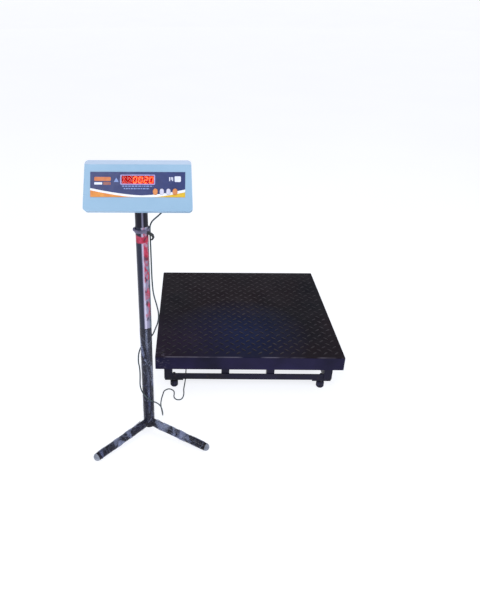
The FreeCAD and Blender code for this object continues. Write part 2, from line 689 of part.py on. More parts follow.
def junction():
    left = "(base_side / 2 - base_offset)"
    x = f"{left} + box_length / 2"
    y = "box_width / 2 - box_near"
    top = "box_bottom + box_height"
    box = body("junction_box")
    drawing = sketch(box, "XY_Plane")
    rectangle(drawing, "box_length", "box_width")
    pad(box, drawing, "box_height")
    inside = sketch(box, "XY_Plane", "box_height")
    rectangle(inside, "box_length - 2 * box_end", "box_width - 2 * box_wall")
    pocket(box, inside, "box_height - box_wall")
    holes = sketch(box, "XY_Plane", "box_height")
    lid = body("junction_lid")
    drawing = sketch(lid, "XY_Plane")
    rectangle(drawing, "box_length", "box_width")
    screws = []
    for i, j in ((-1, -1), (1, -1), (1, 1), (-1, 1)):
        screw_x = f"{i} * (box_length - box_end) / 2"
        screw_y = f"{j} * (box_width / 2 - 8)"
        circle(holes, 1.9, screw_x, screw_y)
        circle(drawing, 2.2, screw_x, screw_y)
        name = f"junction_screw_{'near' if j < 0 else 'far'}_{'left' if i < 0 else 'right'}"
        where = on_deck(f"{x} + {screw_x}", f"{y} + {screw_y}", f"{top} + lid_height")
        head = rod(name + "_head", 3.5, 2.4, where)
        shank = rod(name + "_shank", 1.85, 15,
                    on_deck(f"{x} + {screw_x}", f"{y} + {screw_y}", f"{top} + lid_height - 14.5"))
        screws.append(joined(name, head, shank))
    pocket(box, holes, 12)
    pad(lid, drawing, "lid_height")
    keep(place(box, on_deck(x, y, "box_bottom")))
    keep(place(lid, on_deck(x, y, top)))
    keep(group("junction_screws", screws))
    keep(block("junction_board", (84, 56, "board_thickness"), on_deck(x, y, "box_bottom + box_wall + 6")))
    glands = []
    for i in range(4):
        glands.append(gland(f"junction_gland_{i + 1}", "y"))
        place(glands[-1], on_deck(f"{left} + cell_gland_first + {i} * cell_gland_pitch",
                                  f"{y} + box_width / 2", "cell_gland_level"))
    signal = gland("junction_gland_signal", "y")
    signal.Placement = FreeCAD.Placement(Vector(), FreeCAD.Rotation(Vector(0, 0, 1), 180))
    glands.append(place(signal, on_deck(f"{left} + signal_gland_side", "-box_near", "signal_gland_level")))
    keep(group("junction_glands", glands))


def gland(name, axis):
    """A cable gland that stands on a wall and points along an axis."""
    nut = hexagon(name + "_nut", 8.5, 6, axis=axis)
    shift = {"x": (6, 0, 0), "y": (0, 6, 0)}[axis]
    neck = rod(name + "_neck", 5.5, 7, shift, axis=axis)
    return joined(name, nut, neck)


def cell_cables():
    """Each load cell's cable, laid inside the base frame from the junction box to its cell."""
    x = value("deck_x")
    y = value("deck_y")
    inner = value("base_offset - base_side / 2 - cell_cable_radius - 0.1")
    gland_tip = value("box_width - box_near") + 13
    cell = value("base_offset - cell_side / 2")
    low = 56
    level = value("cell_gland_level")
    high = 135
    routes = (
        ((-316, gland_tip, level), (-316, -152, level), (-316, -136, 92), (-320, -160, 122),
         (-334, -210, high), (-338, -250, high), (-338, -cell, high)),
        ((-290, gland_tip, level), (-290, -150, level), (-318, -118, level), (-inner, -80, level),
         (-inner, -30, 79.5), (-inner, 30, 79.5), (-inner, 82, level), (-inner, 200, level),
         (-inner, 250, 82), (-334, 284, 114), (-338, 305, high), (-338, cell, high)),
        ((-238, gland_tip, level), (-238, -145, level), (-232, -85, 59), (-212, -42, low),
         (-176, -17.6, low), (250, -17.6, low), (302, -26, low), (inner, -64, 60), (inner, -200, 60),
         (inner, -250, 80), (334, -284, 115), (338, -305, high), (338, -cell, high)),
        ((-264, gland_tip, level), (-264, -135, level), (-257, -80, 67), (-240, -45, level),
         (-205, -17.6, level), (232, -17.6, level), (276, -24, 74), (309, -12, 80), (325, 20, 79.5),
         (inner, 66, level), (inner, 200, level), (inner, 250, 82), (334, 284, 114), (338, 305, high),
         (338, cell, high)),
    )
    shapes = []
    for number, route in enumerate(routes, start=1):
        points = [(x + px, y + py, pz) for px, py, pz in route]
        shapes.append(tube(f"cell cable {number}", value("cell_cable_radius"), points))
    cord("cell_cables", Part.makeCompound(shapes))
    clips = []
    places = (("left_near", -inner, 115, level, "y", 1), ("left_far", -inner, 175, level, "y", 1),
              ("right_near", inner, -120, 60, "y", -1), ("right_far", inner, 140, level, "y", -1),
              ("cross_high", 60, -17.6, level, "x", -1), ("cross_low", 60, -17.6, low, "x", -1))
    for name, px, py, pz, axis, away in places:
        crosswise = axis == "x"
        lump = block(f"clip_{name}_block", (8, 7, 9.6) if crosswise else (7, 8, 9.6),
                     on_deck(px + (0 if crosswise else 0.9 * away), py + (0.9 * away if crosswise else 0),
                             pz - 4.8))
        start = (px - 6, py, pz) if crosswise else (px, py - 6, pz)
        bore = rod(f"clip_{name}_bore", "cell_cable_radius + 0.05", 12, on_deck(*start), axis=axis)
        clips.append(cut(f"clip_{name}", lump, bore))
    keep(group("cable_clips", clips))


# ---------------------------------------------------------------- stand

def stand():
    pole = body("pole")
    drawing = sketch(pole, "XY_Plane")
    circle(drawing, "pole_radius")
    circle(drawing, "pole_radius - pole_wall")
    pad(pole, drawing, "pole_top - pole_bottom")
    keep(place(pole, on_stand(0, 0, "pole_bottom")))
    caps = []
    for name, angle in (("right", "-leg_turn_right"), ("left", "180 + leg_turn_left"), ("back", "leg_turn_back")):
        tube_out = rod(f"leg_{name}_tube", "leg_radius", "leg_reach", axis="x")
        tube_in = rod(f"leg_{name}_bore", "leg_radius - leg_wall", "leg_reach + 1", axis="x")
        room = rod(f"leg_{name}_cope", "pole_radius + thread_play", 80)
        room.Placement = FreeCAD.Placement(Vector(), FreeCAD.Rotation(Vector(0, 1, 0), -value("leg_drop")))
        place(room, ("40 * sin(leg_drop)", 0, "-40 * cos(leg_drop)"))
        leg = cut(f"leg_{name}", tube_out, tube_in, room)
        lean(leg, angle)
        keep(place(leg, on_stand(0, 0, "leg_hub")))
        dome = doc.addObject("Part::Sphere", f"leg_cap_{name}_dome")
        bind(dome, "Radius", "leg_radius")
        place(dome, ("leg_reach", 0, 0))
        room = block(f"leg_cap_{name}_trim", (60, 60, 60), ("leg_reach - 30", 0, -30))
        half = cut(f"leg_cap_{name}_half", dome, room)
        plug = rod(f"leg_cap_{name}_plug", "leg_radius - leg_wall - thread_play", 19, ("leg_reach - 18", 0, 0),
                   axis="x")
        cap = joined(f"leg_cap_{name}", half, plug)
        lean(cap, angle)
        caps.append(place(cap, on_stand(0, 0, "leg_hub")))
    keep(group("leg_caps", caps))
    sleeve = body("pole_sleeve")
    drawing = sketch(sleeve, "XY_Plane")
    circle(drawing, "pole_radius + sleeve_thickness")
    circle(drawing, "pole_radius")
    pad(sleeve, drawing, "sleeve_top - sleeve_bottom")
    keep(place(sleeve, on_stand(0, 0, "sleeve_bottom")))


def lean(thing, angle):
    """Tips a piece's far end down, then turns the piece about the vertical."""
    tip = FreeCAD.Rotation(Vector(0, 1, 0), value("leg_drop"))
    thing.Placement = FreeCAD.Placement(Vector(), FreeCAD.Rotation(Vector(0, 0, 1), value(angle)) * tip)


def cable_strap():
    """The strap that ties the signal cable to the pole, with an eye round the cable."""
    low = "strap_middle - strap_height / 2"
    band = rod("strap_band", "pole_radius + sleeve_thickness + strap_thickness", "strap_height")
    eye = block("strap_eye", (18, 13, "strap_height"), (26, 0, 0))
    pole_room = rod("strap_pole_room", "pole_radius + sleeve_thickness", "strap_height")
    cable_room = rod("strap_cable_room", "cable_radius + thread_play", "strap_height", (26.5, 0, 0))
    strap = cut("cable_strap", joined("strap_whole", band, eye), pole_room, cable_room)
    keep(place(strap, on_stand(0, 0, low)))


def pole_cap():
    """A plug in the pole's top with the tongue that carries the tilt bolt."""
    plug = rod("cap_plug", "pole_radius - pole_wall - thread_play", 30, (0, 0, -30))
    flange = rod("cap_flange", "pole_radius", 4)
    tongue = block("cap_tongue", ("2 * tongue_half", 26, "pivot_height - pole_top"))
    crown = rod("cap_crown", 13, "2 * tongue_half", ("-tongue_half", 0, "pivot_height - pole_top"), axis="x")
    hole = rod("cap_hole", "tilt_bolt_radius + thread_play", "2 * tongue_half + 2",
               ("-tongue_half - 1", 0, "pivot_height - pole_top"), axis="x")
    cap = cut("pole_cap", joined("cap_whole", plug, flange, tongue, crown), hole)
    keep(place(cap, on_stand(0, 0, "pole_top")))


# ---------------------------------------------------------------- indicator housing

def housing_outline(drawing, inset, top, low_width="head_width", high_width="head_top_width"):
    """The housing's four-sided outline, moved in by an inset and cut off at a top level."""
    slope = f"(({high_width}) - ({low_width})) / 2 / head_height"
    low = f"({low_width}) / 2 - {inset} + {inset} * ({slope})"
    high = f"({low_width}) / 2 - {inset} + ({top}) * ({slope})"
    outline(drawing, [(f"-({low})", inset), (low, inset), (high, top), (f"-({high})", top)])


def front_shell():
    owner = body("front_shell")
    drawing = sketch(owner, "XZ_Plane")
    housing_outline(drawing, 0, "head_height")
    whole = pad(owner, drawing, "front_depth", towards_normal=False)
    into = Vector(0, 1, 0)
    rounded = soften(owner, whole, "head_radius", lambda edge: not at_level(into, 0)(edge)
                     and not at_level(into, value("front_depth"))(edge))
    bevel = sketch(owner, "YZ_Plane")
    outline(bevel, [(-1, "head_height - bevel_drop * (1 + 1 / bevel_depth)"),
                    ("bevel_depth + 1", "head_height + bevel_drop / bevel_depth"),
                    (-1, "head_height + bevel_drop / bevel_depth")])
    pocket(owner, bevel, "2 * head_width", middle=True)
    deep = sketch(owner, "XZ_Plane", "-front_depth")
    housing_outline(deep, "shell_wall", "head_height - shell_wall")
    pocket(owner, deep, "front_depth - bevel_depth - shell_wall", towards_normal=True)
    shallow = sketch(owner, "XZ_Plane", "-front_depth")
    housing_outline(shallow, "shell_wall", "head_height - bevel_drop - shell_wall")
    pocket(owner, shallow, "front_depth - shell_wall", towards_normal=True)
    openings = sketch(owner, "XZ_Plane")
    face_openings(openings)
    pocket(owner, openings, "2 * shell_wall", middle=True)
    on_head(owner)


def face_openings(drawing):
    """The display opening and the four key openings."""
    rectangle(drawing, "window_width", "window_height", 0, "window_middle")
    for i in range(4):
        rectangle(drawing, "key_width + 2 * key_play", "key_height + 2 * key_play",
                  f"key_first + {i} * key_pitch", "key_middle")


def rear_shell():
    owner = body("rear_shell")
    drawing = sketch(owner, "XZ_Plane", "-front_depth")
    housing_outline(drawing, 0, "head_height")
    whole = pad(owner, drawing, "rear_depth", towards_normal=False, taper="rear_taper")
    soften(owner, whole, "head_radius", lambda edge: not at_level(Vector(0, 1, 0), value("front_depth"))(edge)
           and not at_level(Vector(0, 1, 0), value("front_depth + rear_depth"))(edge))
    inside = sketch(owner, "XZ_Plane", "-front_depth")
    housing_outline(inside, "shell_wall", "head_height - shell_wall")
    pocket(owner, inside, "rear_depth - shell_wall", taper="rear_taper")
    on_head(owner)


def panel():
    owner = body("panel_overlay")
    drawing = sketch(owner, "XZ_Plane")
    rectangle(drawing, "overlay_width", "overlay_height", 0, "overlay_middle")
    face_openings(drawing)
    pad(owner, drawing, "overlay_thickness")
    on_head(owner)
    window = block("window_pane", ("window_width - 2 * window_play", "window_depth",
                                      "window_height - 2 * window_play"),
                   (0, "window_depth / 2 - overlay_thickness", "window_middle - window_height / 2 + window_play"))
    on_head(group("display_window", [window]))


def keys():
    for i, name in enumerate(("zero", "tare", "mode", "print")):
        x = f"key_first + {i} * key_pitch"
        owner = body(f"key_{name}")
        drawing = sketch(owner, "XZ_Plane", "key_proud")
        rectangle(drawing, "key_width", "key_height", x, "key_middle")
        cap = pad(owner, drawing, "key_proud + shell_wall + 0.3", towards_normal=False)
        soften(owner, cap, "key_radius", along(Vector(0, 1, 0)))
        flange = sketch(owner, "XZ_Plane", "-shell_wall - 0.3")
        rectangle(flange, "key_width + 3", "key_height + 3", x, "key_middle")
        pad(owner, flange, 1.2, towards_normal=False)
        stem = sketch(owner, "XZ_Plane", "-shell_wall - 1.5")
        circle(stem, 2.5, x, "key_middle")
        pad(owner, stem, 2.5, towards_normal=False)
        on_head(owner)


def electronics():
    board_front = 12
    board = block("front_board_blank", (224, "board_thickness", 88), (10, f"{board_front} + board_thickness / 2", 36))
    on_head(group("front_board", [board]))
    digits = []
    for i in range(6):
        digits.append(block(f"digit_{'abcdef'[i]}", ("digit_width", 8, "digit_height"),
                            (f"{i - 2.5} * digit_pitch", f"{board_front} - 4",
                             "window_middle - digit_height / 2")))
    on_head(group("display_digits", digits))
    switches = []
    for i in range(4):
        switches.append(block(f"switch_{'abcd'[i]}", (7, 4, 7),
                              (f"key_first + {i} * key_pitch", f"{board_front} - 2", "key_middle - 3.5")))
    on_head(group("key_switches", switches))
    board = block("main_board_blank", (150, "board_thickness", 90), (48, 50, 36))
    chips = [block("main_chip", (24, 4, 24), (30, 47.2, 70)), block("power_chip", (30, 14, 40), (85, 42.2, 60))]
    on_head(joined("main_board", board, *chips))
    case = block("battery_case", (98, 44, 68), (-88, 42, 36))
    posts = [rod(f"terminal_{side}", 4, 6, (f"-88 + {sign} * 34", 42, 103), axis="z") for side, sign in SIDES]
    on_head(joined("battery", case, *posts))


def power_switch():
    """A rocker in its frame on the rear shell."""
    rear = "(front_depth + rear_depth)"
    shell = block("rocker_shell", (24, 12, 17), (-110, f"{rear} + 6", 70))
    room = block("rocker_room", (20, 11, 13), (-110, f"{rear} + 7.5", 72))
    on_head(cut("rocker_housing", shell, room))
    wheel = rod("rocker_wheel", 6.2, 12.4, (-6.2, 0, 0), axis="x")
    flat = block("rocker_flat", (30, 12, 30), (0, 9.5, -15))
    rocker = cut("rocker_body", wheel, flat)
    rocker.Placement = FreeCAD.Placement(Vector(), FreeCAD.Rotation(Vector(1, 0, 0), 1))
    bind(rocker, "Placement.Rotation.Angle", "rocker_tilt")
    place(rocker, (-110, f"{rear} + 9", 78.5))
    on_head(group("power_rocker", [rocker]))
    inlet = block("inlet_body", (30, 10, 24), (-60, f"{rear} + 5", 66))
    socket = block("inlet_room", (22, 9, 16), (-60, f"{rear} + 6.5", 70))
    pins = [rod(f"inlet_pin_{side}", 1.5, 8, (f"-60 + {sign} * 5", f"{rear} + 1", 78), axis="y")
            for side, sign in SIDES]
    on_head(joined("power_inlet", cut("inlet_shell", inlet, socket), *pins))


def head_fixings():
    rear = "(front_depth + rear_depth)"
    nut = hexagon("gland_nut", 9, 6, ("gland_side", rear, "gland_rise"), axis="y")
    neck = doc.addObject("Part::Cone", "gland_neck")
    neck.Radius1 = 7
    neck.Radius2 = 4
    neck.Height = 18
    neck.Placement = FreeCAD.Placement(Vector(), FreeCAD.Rotation(Vector(1, 0, 0), -90))
    place(neck, ("gland_side", f"{rear} + 6", "gland_rise"))
    on_head(joined("cable_gland", nut, neck))
    screws = []
    for x, z in ((-145, 22), (145, 22), (-138, 134), (138, 134)):
        head = rod(f"housing_screw_{len(screws)}_head", 4, 2, (x, rear, z), axis="y")
        shank = rod(f"housing_screw_{len(screws)}_shank", 1.8, 4, (x, f"{rear} - 3", z), axis="y")
        screws.append(joined(f"housing_screw_{'abcd'[len(screws)]}", head, shank))
    on_head(group("housing_screws", screws))


def tilt_joint():
    rear = "(front_depth + rear_depth)"
    plate = block("bracket_plate", ("bracket_width", "bracket_thickness", 44),
                  (0, f"{rear} + bracket_thickness / 2", "pivot_rise - 22"))
    pieces = [plate]
    inner = "(tongue_half + tongue_play)"
    for side, sign in SIDES:
        middle = f"{sign} * ({inner} + ear_thickness / 2)"
        depth = f"pivot_depth - {rear} - bracket_thickness"
        pieces.append(block(f"ear_{side}", ("ear_thickness", depth, "2 * ear_radius"),
                            (middle, f"{rear} + bracket_thickness + ({depth}) / 2", "pivot_rise - ear_radius")))
        pieces.append(rod(f"ear_{side}_round", "ear_radius", "ear_thickness",
                          (f"{middle} - ear_thickness / 2", "pivot_depth", "pivot_rise"), axis="x"))
    hole = rod("bracket_hole", "tilt_bolt_radius + thread_play", 60, (-30, "pivot_depth", "pivot_rise"), axis="x")
    holes = [hole]
    screws = []
    for i, (sx, sz) in enumerate(((-1, -1), (1, -1), (1, 1), (-1, 1))):
        x = f"{sx} * (bracket_width / 2 - 9)"
        z = f"pivot_rise + {sz} * 14"
        holes.append(rod(f"bracket_screw_hole_{'abcd'[i]}", 2.6, 6, (x, f"{rear} - 1", z), axis="y"))
        head = rod(f"bracket_screw_head_{'abcd'[i]}", 4.5, 3, (x, f"{rear} + bracket_thickness", z), axis="y")
        shank = rod(f"bracket_screw_shank_{'abcd'[i]}", 2.5, 8, (x, f"{rear} - 3.5", z), axis="y")
        screws.append(joined(f"bracket_screw_{'abcd'[i]}", head, shank))
    on_head(cut("head_bracket", joined("bracket_whole", *pieces), *holes))
    on_head(group("bracket_screws", screws))
    outer = f"{inner} + ear_thickness"
    head = hexagon("tilt_bolt_head", 10.4, 7.5, (f"-({outer}) - 7.5", "pivot_depth", "pivot_rise"), axis="x")
    shank = rod("tilt_bolt_shank", "tilt_bolt_radius", f"2 * ({outer}) + knob_length - 4",
                (f"-({outer}) - 1", "pivot_depth", "pivot_rise"), axis="x")
    on_head(joined("tilt_bolt", head, shank))
    start = f"{outer} + 0.3"
    hub = rod("knob_hub", "knob_radius", "knob_length", (start, "pivot_depth", "pivot_rise"), axis="x")
    lobes = []
    for i in range(5):
        angle = 72 * i
        lobes.append(rod(f"knob_lobe_{'abcde'[i]}", "lobe_radius", "knob_length - 6",
                         (f"{start} + 6", f"pivot_depth + (knob_radius + 1) * cos({angle})",
                          f"pivot_rise + (knob_radius + 1) * sin({angle})"), axis="x"))
    bore = rod("knob_bore", "tilt_bolt_radius + thread_play", "knob_length - 3",
               (start, "pivot_depth", "pivot_rise"), axis="x")
    on_head(cut("tilt_knob", joined("knob_whole", hub, *lobes), bore))


# ---------------------------------------------------------------- signal cable

def signal_cable():
    """The cable from the indicator's gland to the strap, and on down the pole to the junction box."""
    x = value("stand_x")
    y = value("stand_y")
    tilt = math.radians(value("head_tilt"))
    depth = value("front_depth + rear_depth + 24")
    rise = value("gland_rise")
    out = Vector(0, math.cos(tilt), -math.sin(tilt))
    up = Vector(0, math.sin(tilt), math.cos(tilt))
    end = Vector(value("gland_side"), value("head_y") - y, value("head_z")) + out * depth + up * rise
    straight = end + out * 16
    upper = [tuple(end), tuple(straight), (72, 6, 922), (56, 5.5, 906), (26.5, 0, 882), CABLE_ROUTE[0]]
    radius = value("cable_radius")
    for name, route in (("signal_cable_upper", upper), ("signal_cable", CABLE_ROUTE)):
        cord(name, tube(name, radius, [(x + px, y + py, pz) for px, py, pz in route]))


# ---------------------------------------------------------------- build and write

def check():
    for thing in doc.Objects:
        if {"Invalid", "Error"} & set(thing.State):
            raise RuntimeError(f"{thing.Name} failed: {thing.State}")
    for thing in parts:
        if thing.Shape.isNull() or not thing.Shape.isValid():
            raise RuntimeError(f"{thing.Label} has no valid shape")


def main():
    fill_sheet()
    for make in (deck_plate, deck_frame, base_frame, corner_posts, overload_stops, load_cells, feet, junction,
                 cell_cables, stand, cable_strap, pole_cap, front_shell, rear_shell, panel, keys, electronics,
                 power_switch, head_fixings, tilt_joint, signal_cable):
        make()
    doc.recompute()
    check()
    os.makedirs("parts", exist_ok=True)
    for thing in parts:
        thing.Shape.exportStep(f"parts/{thing.Label}.step")
    print(len(parts), "sub-parts")


main()
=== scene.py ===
import bmesh
import bpy
import json
import math
import random
from mathutils import Matrix, Vector, noise


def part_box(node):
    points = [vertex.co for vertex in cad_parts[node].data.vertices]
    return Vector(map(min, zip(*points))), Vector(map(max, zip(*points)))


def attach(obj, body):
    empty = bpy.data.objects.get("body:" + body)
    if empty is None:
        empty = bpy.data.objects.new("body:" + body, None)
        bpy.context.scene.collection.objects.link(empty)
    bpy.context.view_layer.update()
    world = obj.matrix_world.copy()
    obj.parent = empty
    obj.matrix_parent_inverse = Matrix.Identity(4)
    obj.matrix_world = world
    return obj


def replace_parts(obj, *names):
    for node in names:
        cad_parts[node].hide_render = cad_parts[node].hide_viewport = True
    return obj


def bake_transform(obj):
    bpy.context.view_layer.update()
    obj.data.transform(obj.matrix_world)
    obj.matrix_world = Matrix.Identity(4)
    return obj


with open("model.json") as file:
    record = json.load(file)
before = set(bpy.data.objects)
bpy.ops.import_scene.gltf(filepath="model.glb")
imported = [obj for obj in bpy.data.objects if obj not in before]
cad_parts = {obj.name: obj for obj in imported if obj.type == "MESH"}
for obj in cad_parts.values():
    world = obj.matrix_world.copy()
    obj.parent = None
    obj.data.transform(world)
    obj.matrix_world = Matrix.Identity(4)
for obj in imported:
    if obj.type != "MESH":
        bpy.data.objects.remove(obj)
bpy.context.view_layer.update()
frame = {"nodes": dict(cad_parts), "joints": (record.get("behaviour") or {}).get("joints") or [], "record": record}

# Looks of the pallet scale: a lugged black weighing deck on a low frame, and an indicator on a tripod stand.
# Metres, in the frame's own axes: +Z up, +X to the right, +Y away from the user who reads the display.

MM = 0.001
NODES = frame["nodes"]


# ---------------------------------------------------------------- places

def middle(node):
    low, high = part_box(node)
    return (low + high) / 2


DECK_LOW, DECK_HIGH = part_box("deck_plate")
DECK_MIDDLE = middle("deck_plate")
DECK_TOP = DECK_HIGH.z
POLE = middle("pole")
POLE_RADIUS = (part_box("pole")[1].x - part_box("pole")[0].x) / 2
SLEEVE_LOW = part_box("pole_sleeve")[0].z
SLEEVE_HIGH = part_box("pole_sleeve")[1].z
STRAP_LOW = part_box("cable_strap")[0].z
STRAP_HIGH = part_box("cable_strap")[1].z
LEG_RADIUS = 15 * MM
LEG_REACH = 248 * MM
LEG_DROP = math.radians(8)

# The display's own axes: x to the right, y into the housing, z up the face, from the face's lower edge.
HEAD_TILT = math.radians(28)
TILT_DEPTH = 100 * MM
TILT_RISE = 60 * MM
PIVOT = Vector(next(joint["pos_m"] for joint in frame["joints"] if joint["name"] == "head_tilt"))
HEAD_UP = Matrix.Rotation(-HEAD_TILT, 3, "X") @ Vector((0, 0, 1))
HEAD_IN = Matrix.Rotation(-HEAD_TILT, 3, "X") @ Vector((0, 1, 0))
HEAD = (Matrix.Translation(PIVOT) @ Matrix.Rotation(-HEAD_TILT, 4, "X")
        @ Matrix.Translation((0, -TILT_DEPTH, -TILT_RISE)))


# ---------------------------------------------------------------- materials

def srgb(red, green, blue):
    """A colour as seen on a screen, from 0 to 255, as the linear colour that a shader takes."""
    linear = []
    for level in (red, green, blue):
        share = level / 255
        linear.append(share / 12.92 if share <= 0.04045 else ((share + 0.055) / 1.055) ** 2.4)
    return (*linear, 1)


class Look:
    """A material under construction: a Principled shader fed by procedural nodes."""

    def __init__(self, name, **sockets):
        self.material = bpy.data.materials.new(name)
        self.material.use_nodes = True
        self.tree = self.material.node_tree
        self.shader = self.tree.nodes["Principled BSDF"]
        self.place = self.node("ShaderNodeTexCoord").outputs["Object"]
        for socket, setting in sockets.items():
            self.shader.inputs[socket.replace("_", " ")].default_value = setting

    def vector(self, operation, first, second):
        """A vector operation's node; its output 0 is a vector and its "Value" a number."""
        return self.node("ShaderNodeVectorMath", {0: first, 1: tuple(second)}, operation=operation)

    def node(self, kind, inputs=(), **settings):
        made = self.tree.nodes.new(kind)
        for name, setting in settings.items():
            setattr(made, name, setting)
        for socket, source in dict(inputs).items():
            self.feed(made.inputs[socket], source)
        return made

    def feed(self, socket, source):
        if isinstance(source, bpy.types.NodeSocket):
            self.tree.links.new(source, socket)
        else:
            socket.default_value = source

    def stretched(self, x, y, z):
        """The object's coordinates, scaled along each axis."""
        return self.vector("MULTIPLY", self.place, (x, y, z)).outputs[0]

    def noise(self, scale, low=0.35, high=0.65, detail=4, place=None, distortion=0):
        """Noise from 0 to 1; low and high are the levels that become 0 and 1."""
        inputs = {"Vector": place or self.place, "Scale": scale, "Detail": detail, "Distortion": distortion}
        made = self.node("ShaderNodeTexNoise", inputs)
        return self.between(made.outputs[0], low, high)

    def cells(self, scale, low, high, place):
        """The distance to the nearest edge between irregular cells, from 0 to 1."""
        inputs = {"Vector": place, "Scale": scale}
        made = self.node("ShaderNodeTexVoronoi", inputs, feature="DISTANCE_TO_EDGE")
        return self.between(made.outputs[0], low, high)

    def between(self, source, low, high, to_low=0, to_high=1):
        made = self.node("ShaderNodeMapRange", {0: source, 1: low, 2: high, 3: to_low, 4: to_high})
        return made.outputs[0]

    def math(self, operation, first, second=0):
        return self.node("ShaderNodeMath", {0: first, 1: second}, operation=operation).outputs[0]

    def times(self, first, second):
        return self.math("MULTIPLY", first, second)

    def axis(self, name):
        return self.node("ShaderNodeSeparateXYZ", {0: self.place}).outputs["XYZ".index(name.upper())]

    def mix(self, factor, first, second):
        return self.node("ShaderNodeMix", {0: factor, 6: first, 7: second}, data_type="RGBA").outputs[2]

    def near(self, point, reach):
        """1 at a point, falling to 0 at a distance of reach."""
        return self.between(self.vector("DISTANCE", self.place, point).outputs["Value"], reach, 0)

    def in_head(self, direction, offset):
        """The coordinate along one of the display's own axes."""
        apart = self.vector("SUBTRACT", self.place, PIVOT).outputs[0]
        return self.math("ADD", self.vector("DOT_PRODUCT", apart, direction).outputs["Value"], offset)

    def round_pole(self):
        """The angle round the pole, from the front towards the right."""
        apart = self.vector("SUBTRACT", self.place, POLE).outputs[0]
        split = self.node("ShaderNodeSeparateXYZ", {0: apart})
        return self.math("ARCTAN2", split.outputs[0], self.times(split.outputs[1], -1))

    def streak(self, angle, low, high, soft):
        """1 between two angles round the pole."""
        rising = self.between(angle, low, low + soft)
        return self.times(rising, self.between(angle, high, high - soft))

    def colour(self, source):
        self.feed(self.shader.inputs["Base Color"], source)

    def roughness(self, factor, low, high):
        self.feed(self.shader.inputs["Roughness"], self.between(factor, 0, 1, low, high))

    def bump(self, *layers):
        """Layers of (height from 0 to 1, depth in metres)."""
        normal = None
        for height, depth in layers:
            inputs = {"Height": height, "Distance": depth, "Strength": 1}
            if normal is not None:
                inputs["Normal"] = normal
            normal = self.node("ShaderNodeBump", inputs).outputs[0]
        self.feed(self.shader.inputs["Normal"], normal)


def deck_paint():
    """Thick black enamel over rolled plate, with a blue patch towards the front middle and a violet tint near the
    front left corner, scuffed at one corner, and paler along the front edge, where the pale line is partly wear
    and partly a painted highlight.
    """
    look = Look("deck_paint", Specular_IOR_Level=0.1)
    corner = Vector((DECK_LOW.x, DECK_LOW.y, DECK_TOP))
    blue = Vector((DECK_MIDDLE.x - 0.03, DECK_MIDDLE.y - 0.22, DECK_TOP))
    base = look.mix(look.noise(3.2, 0.38, 0.62, 3), srgb(10, 9, 19), srgb(23, 13, 21))
    base = look.mix(look.times(look.near(blue, 0.32), 0.95), base, srgb(10, 26, 66))
    violet = look.times(look.near(corner + Vector((0.1, 0.12, 0)), 0.3), 0.55)
    base = look.mix(violet, base, srgb(40, 24, 50))
    dust = look.times(look.noise(14, 0.5, 0.75, 6), 0.1)
    base = look.mix(dust, base, srgb(58, 52, 58))
    skirt = look.between(look.axis("z"), DECK_TOP - 2 * MM, DECK_TOP - 5 * MM)
    base = look.mix(skirt, base, look.mix(look.noise(5, 0.35, 0.65, 4), srgb(17, 17, 34), srgb(35, 31, 64)))
    scuffs = look.noise(130, 0.54, 0.68, 6, look.stretched(0.5, 1, 1))
    scuffed = look.times(scuffs, look.near(corner, 0.09))
    # Painted highlight mixed with wear: a ragged pale line along the top of the front edge.
    from_edge = look.math("ABSOLUTE", look.math("SUBTRACT", look.axis("y"), DECK_LOW.y + 2 * MM))
    on_edge = look.times(look.between(from_edge, 2.6 * MM, 0.8 * MM),
                         look.between(look.axis("z"), DECK_TOP - 5 * MM, DECK_TOP - 2 * MM))
    rubbed_and_highlit = look.times(on_edge, look.noise(9, 0.45, 0.62, 7))
    wear_and_highlight = look.math("MAXIMUM", look.times(scuffed, 0.6), look.times(rubbed_and_highlit, 0.5))
    look.colour(look.mix(wear_and_highlight, base, srgb(122, 118, 134)))
    look.roughness(look.noise(9, 0.3, 0.7, 5), 0.42, 0.62)
    look.bump((look.noise(260, 0.3, 0.7, 3), 0.06 * MM), (look.noise(34, 0.3, 0.7, 4), 0.35 * MM))
    return look.material


def lug_paint():
    """The same enamel on the lugs, paler on their crowns: paint thinned by wear, and a painted highlight."""
    look = Look("lug_paint", Specular_IOR_Level=0.2)
    # Painted highlight mixed with wear: the lug crowns made paler.
    height = look.between(look.axis("z"), DECK_TOP + 1.1 * MM, DECK_TOP + 1.8 * MM)
    rubbed_and_highlit = look.times(height, look.noise(4, 0.42, 0.68, 3))
    base = look.mix(look.noise(3.2, 0.38, 0.62, 3), srgb(16, 14, 24), srgb(27, 19, 25))
    look.colour(look.mix(look.times(rubbed_and_highlit, 0.4), base, srgb(82, 76, 84)))
    look.roughness(look.noise(40, 0.3, 0.7, 5), 0.34, 0.52)
    look.bump((look.noise(300, 0.3, 0.7, 3), 0.05 * MM))
    return look.material


def frame_paint():
    look = Look("frame_paint", Specular_IOR_Level=0.18)
    base = look.mix(look.noise(7, 0.35, 0.65, 4), srgb(12, 11, 24), srgb(24, 22, 48))
    rust = look.times(look.noise(55, 0.63, 0.72, 8), 0.6)
    look.colour(look.mix(rust, base, srgb(62, 44, 40)))
    look.roughness(look.noise(18, 0.3, 0.7, 5), 0.32, 0.55)
    look.bump((look.noise(190, 0.3, 0.7, 3), 0.08 * MM), (look.noise(28, 0.3, 0.7, 3), 0.3 * MM))
    return look.material


def metal(name, dark, light, rough, grain):
    """Plated or machined steel with drawn grain and faint stains."""
    look = Look(name, Metallic=1.0)
    lines = look.noise(grain, 0.3, 0.7, 5, look.stretched(1, 12, 12))
    look.colour(look.mix(look.noise(30, 0.35, 0.7, 5), srgb(*dark), srgb(*light)))
    look.roughness(lines, rough, rough + 0.18)
    look.bump((lines, 0.03 * MM))
    return look.material


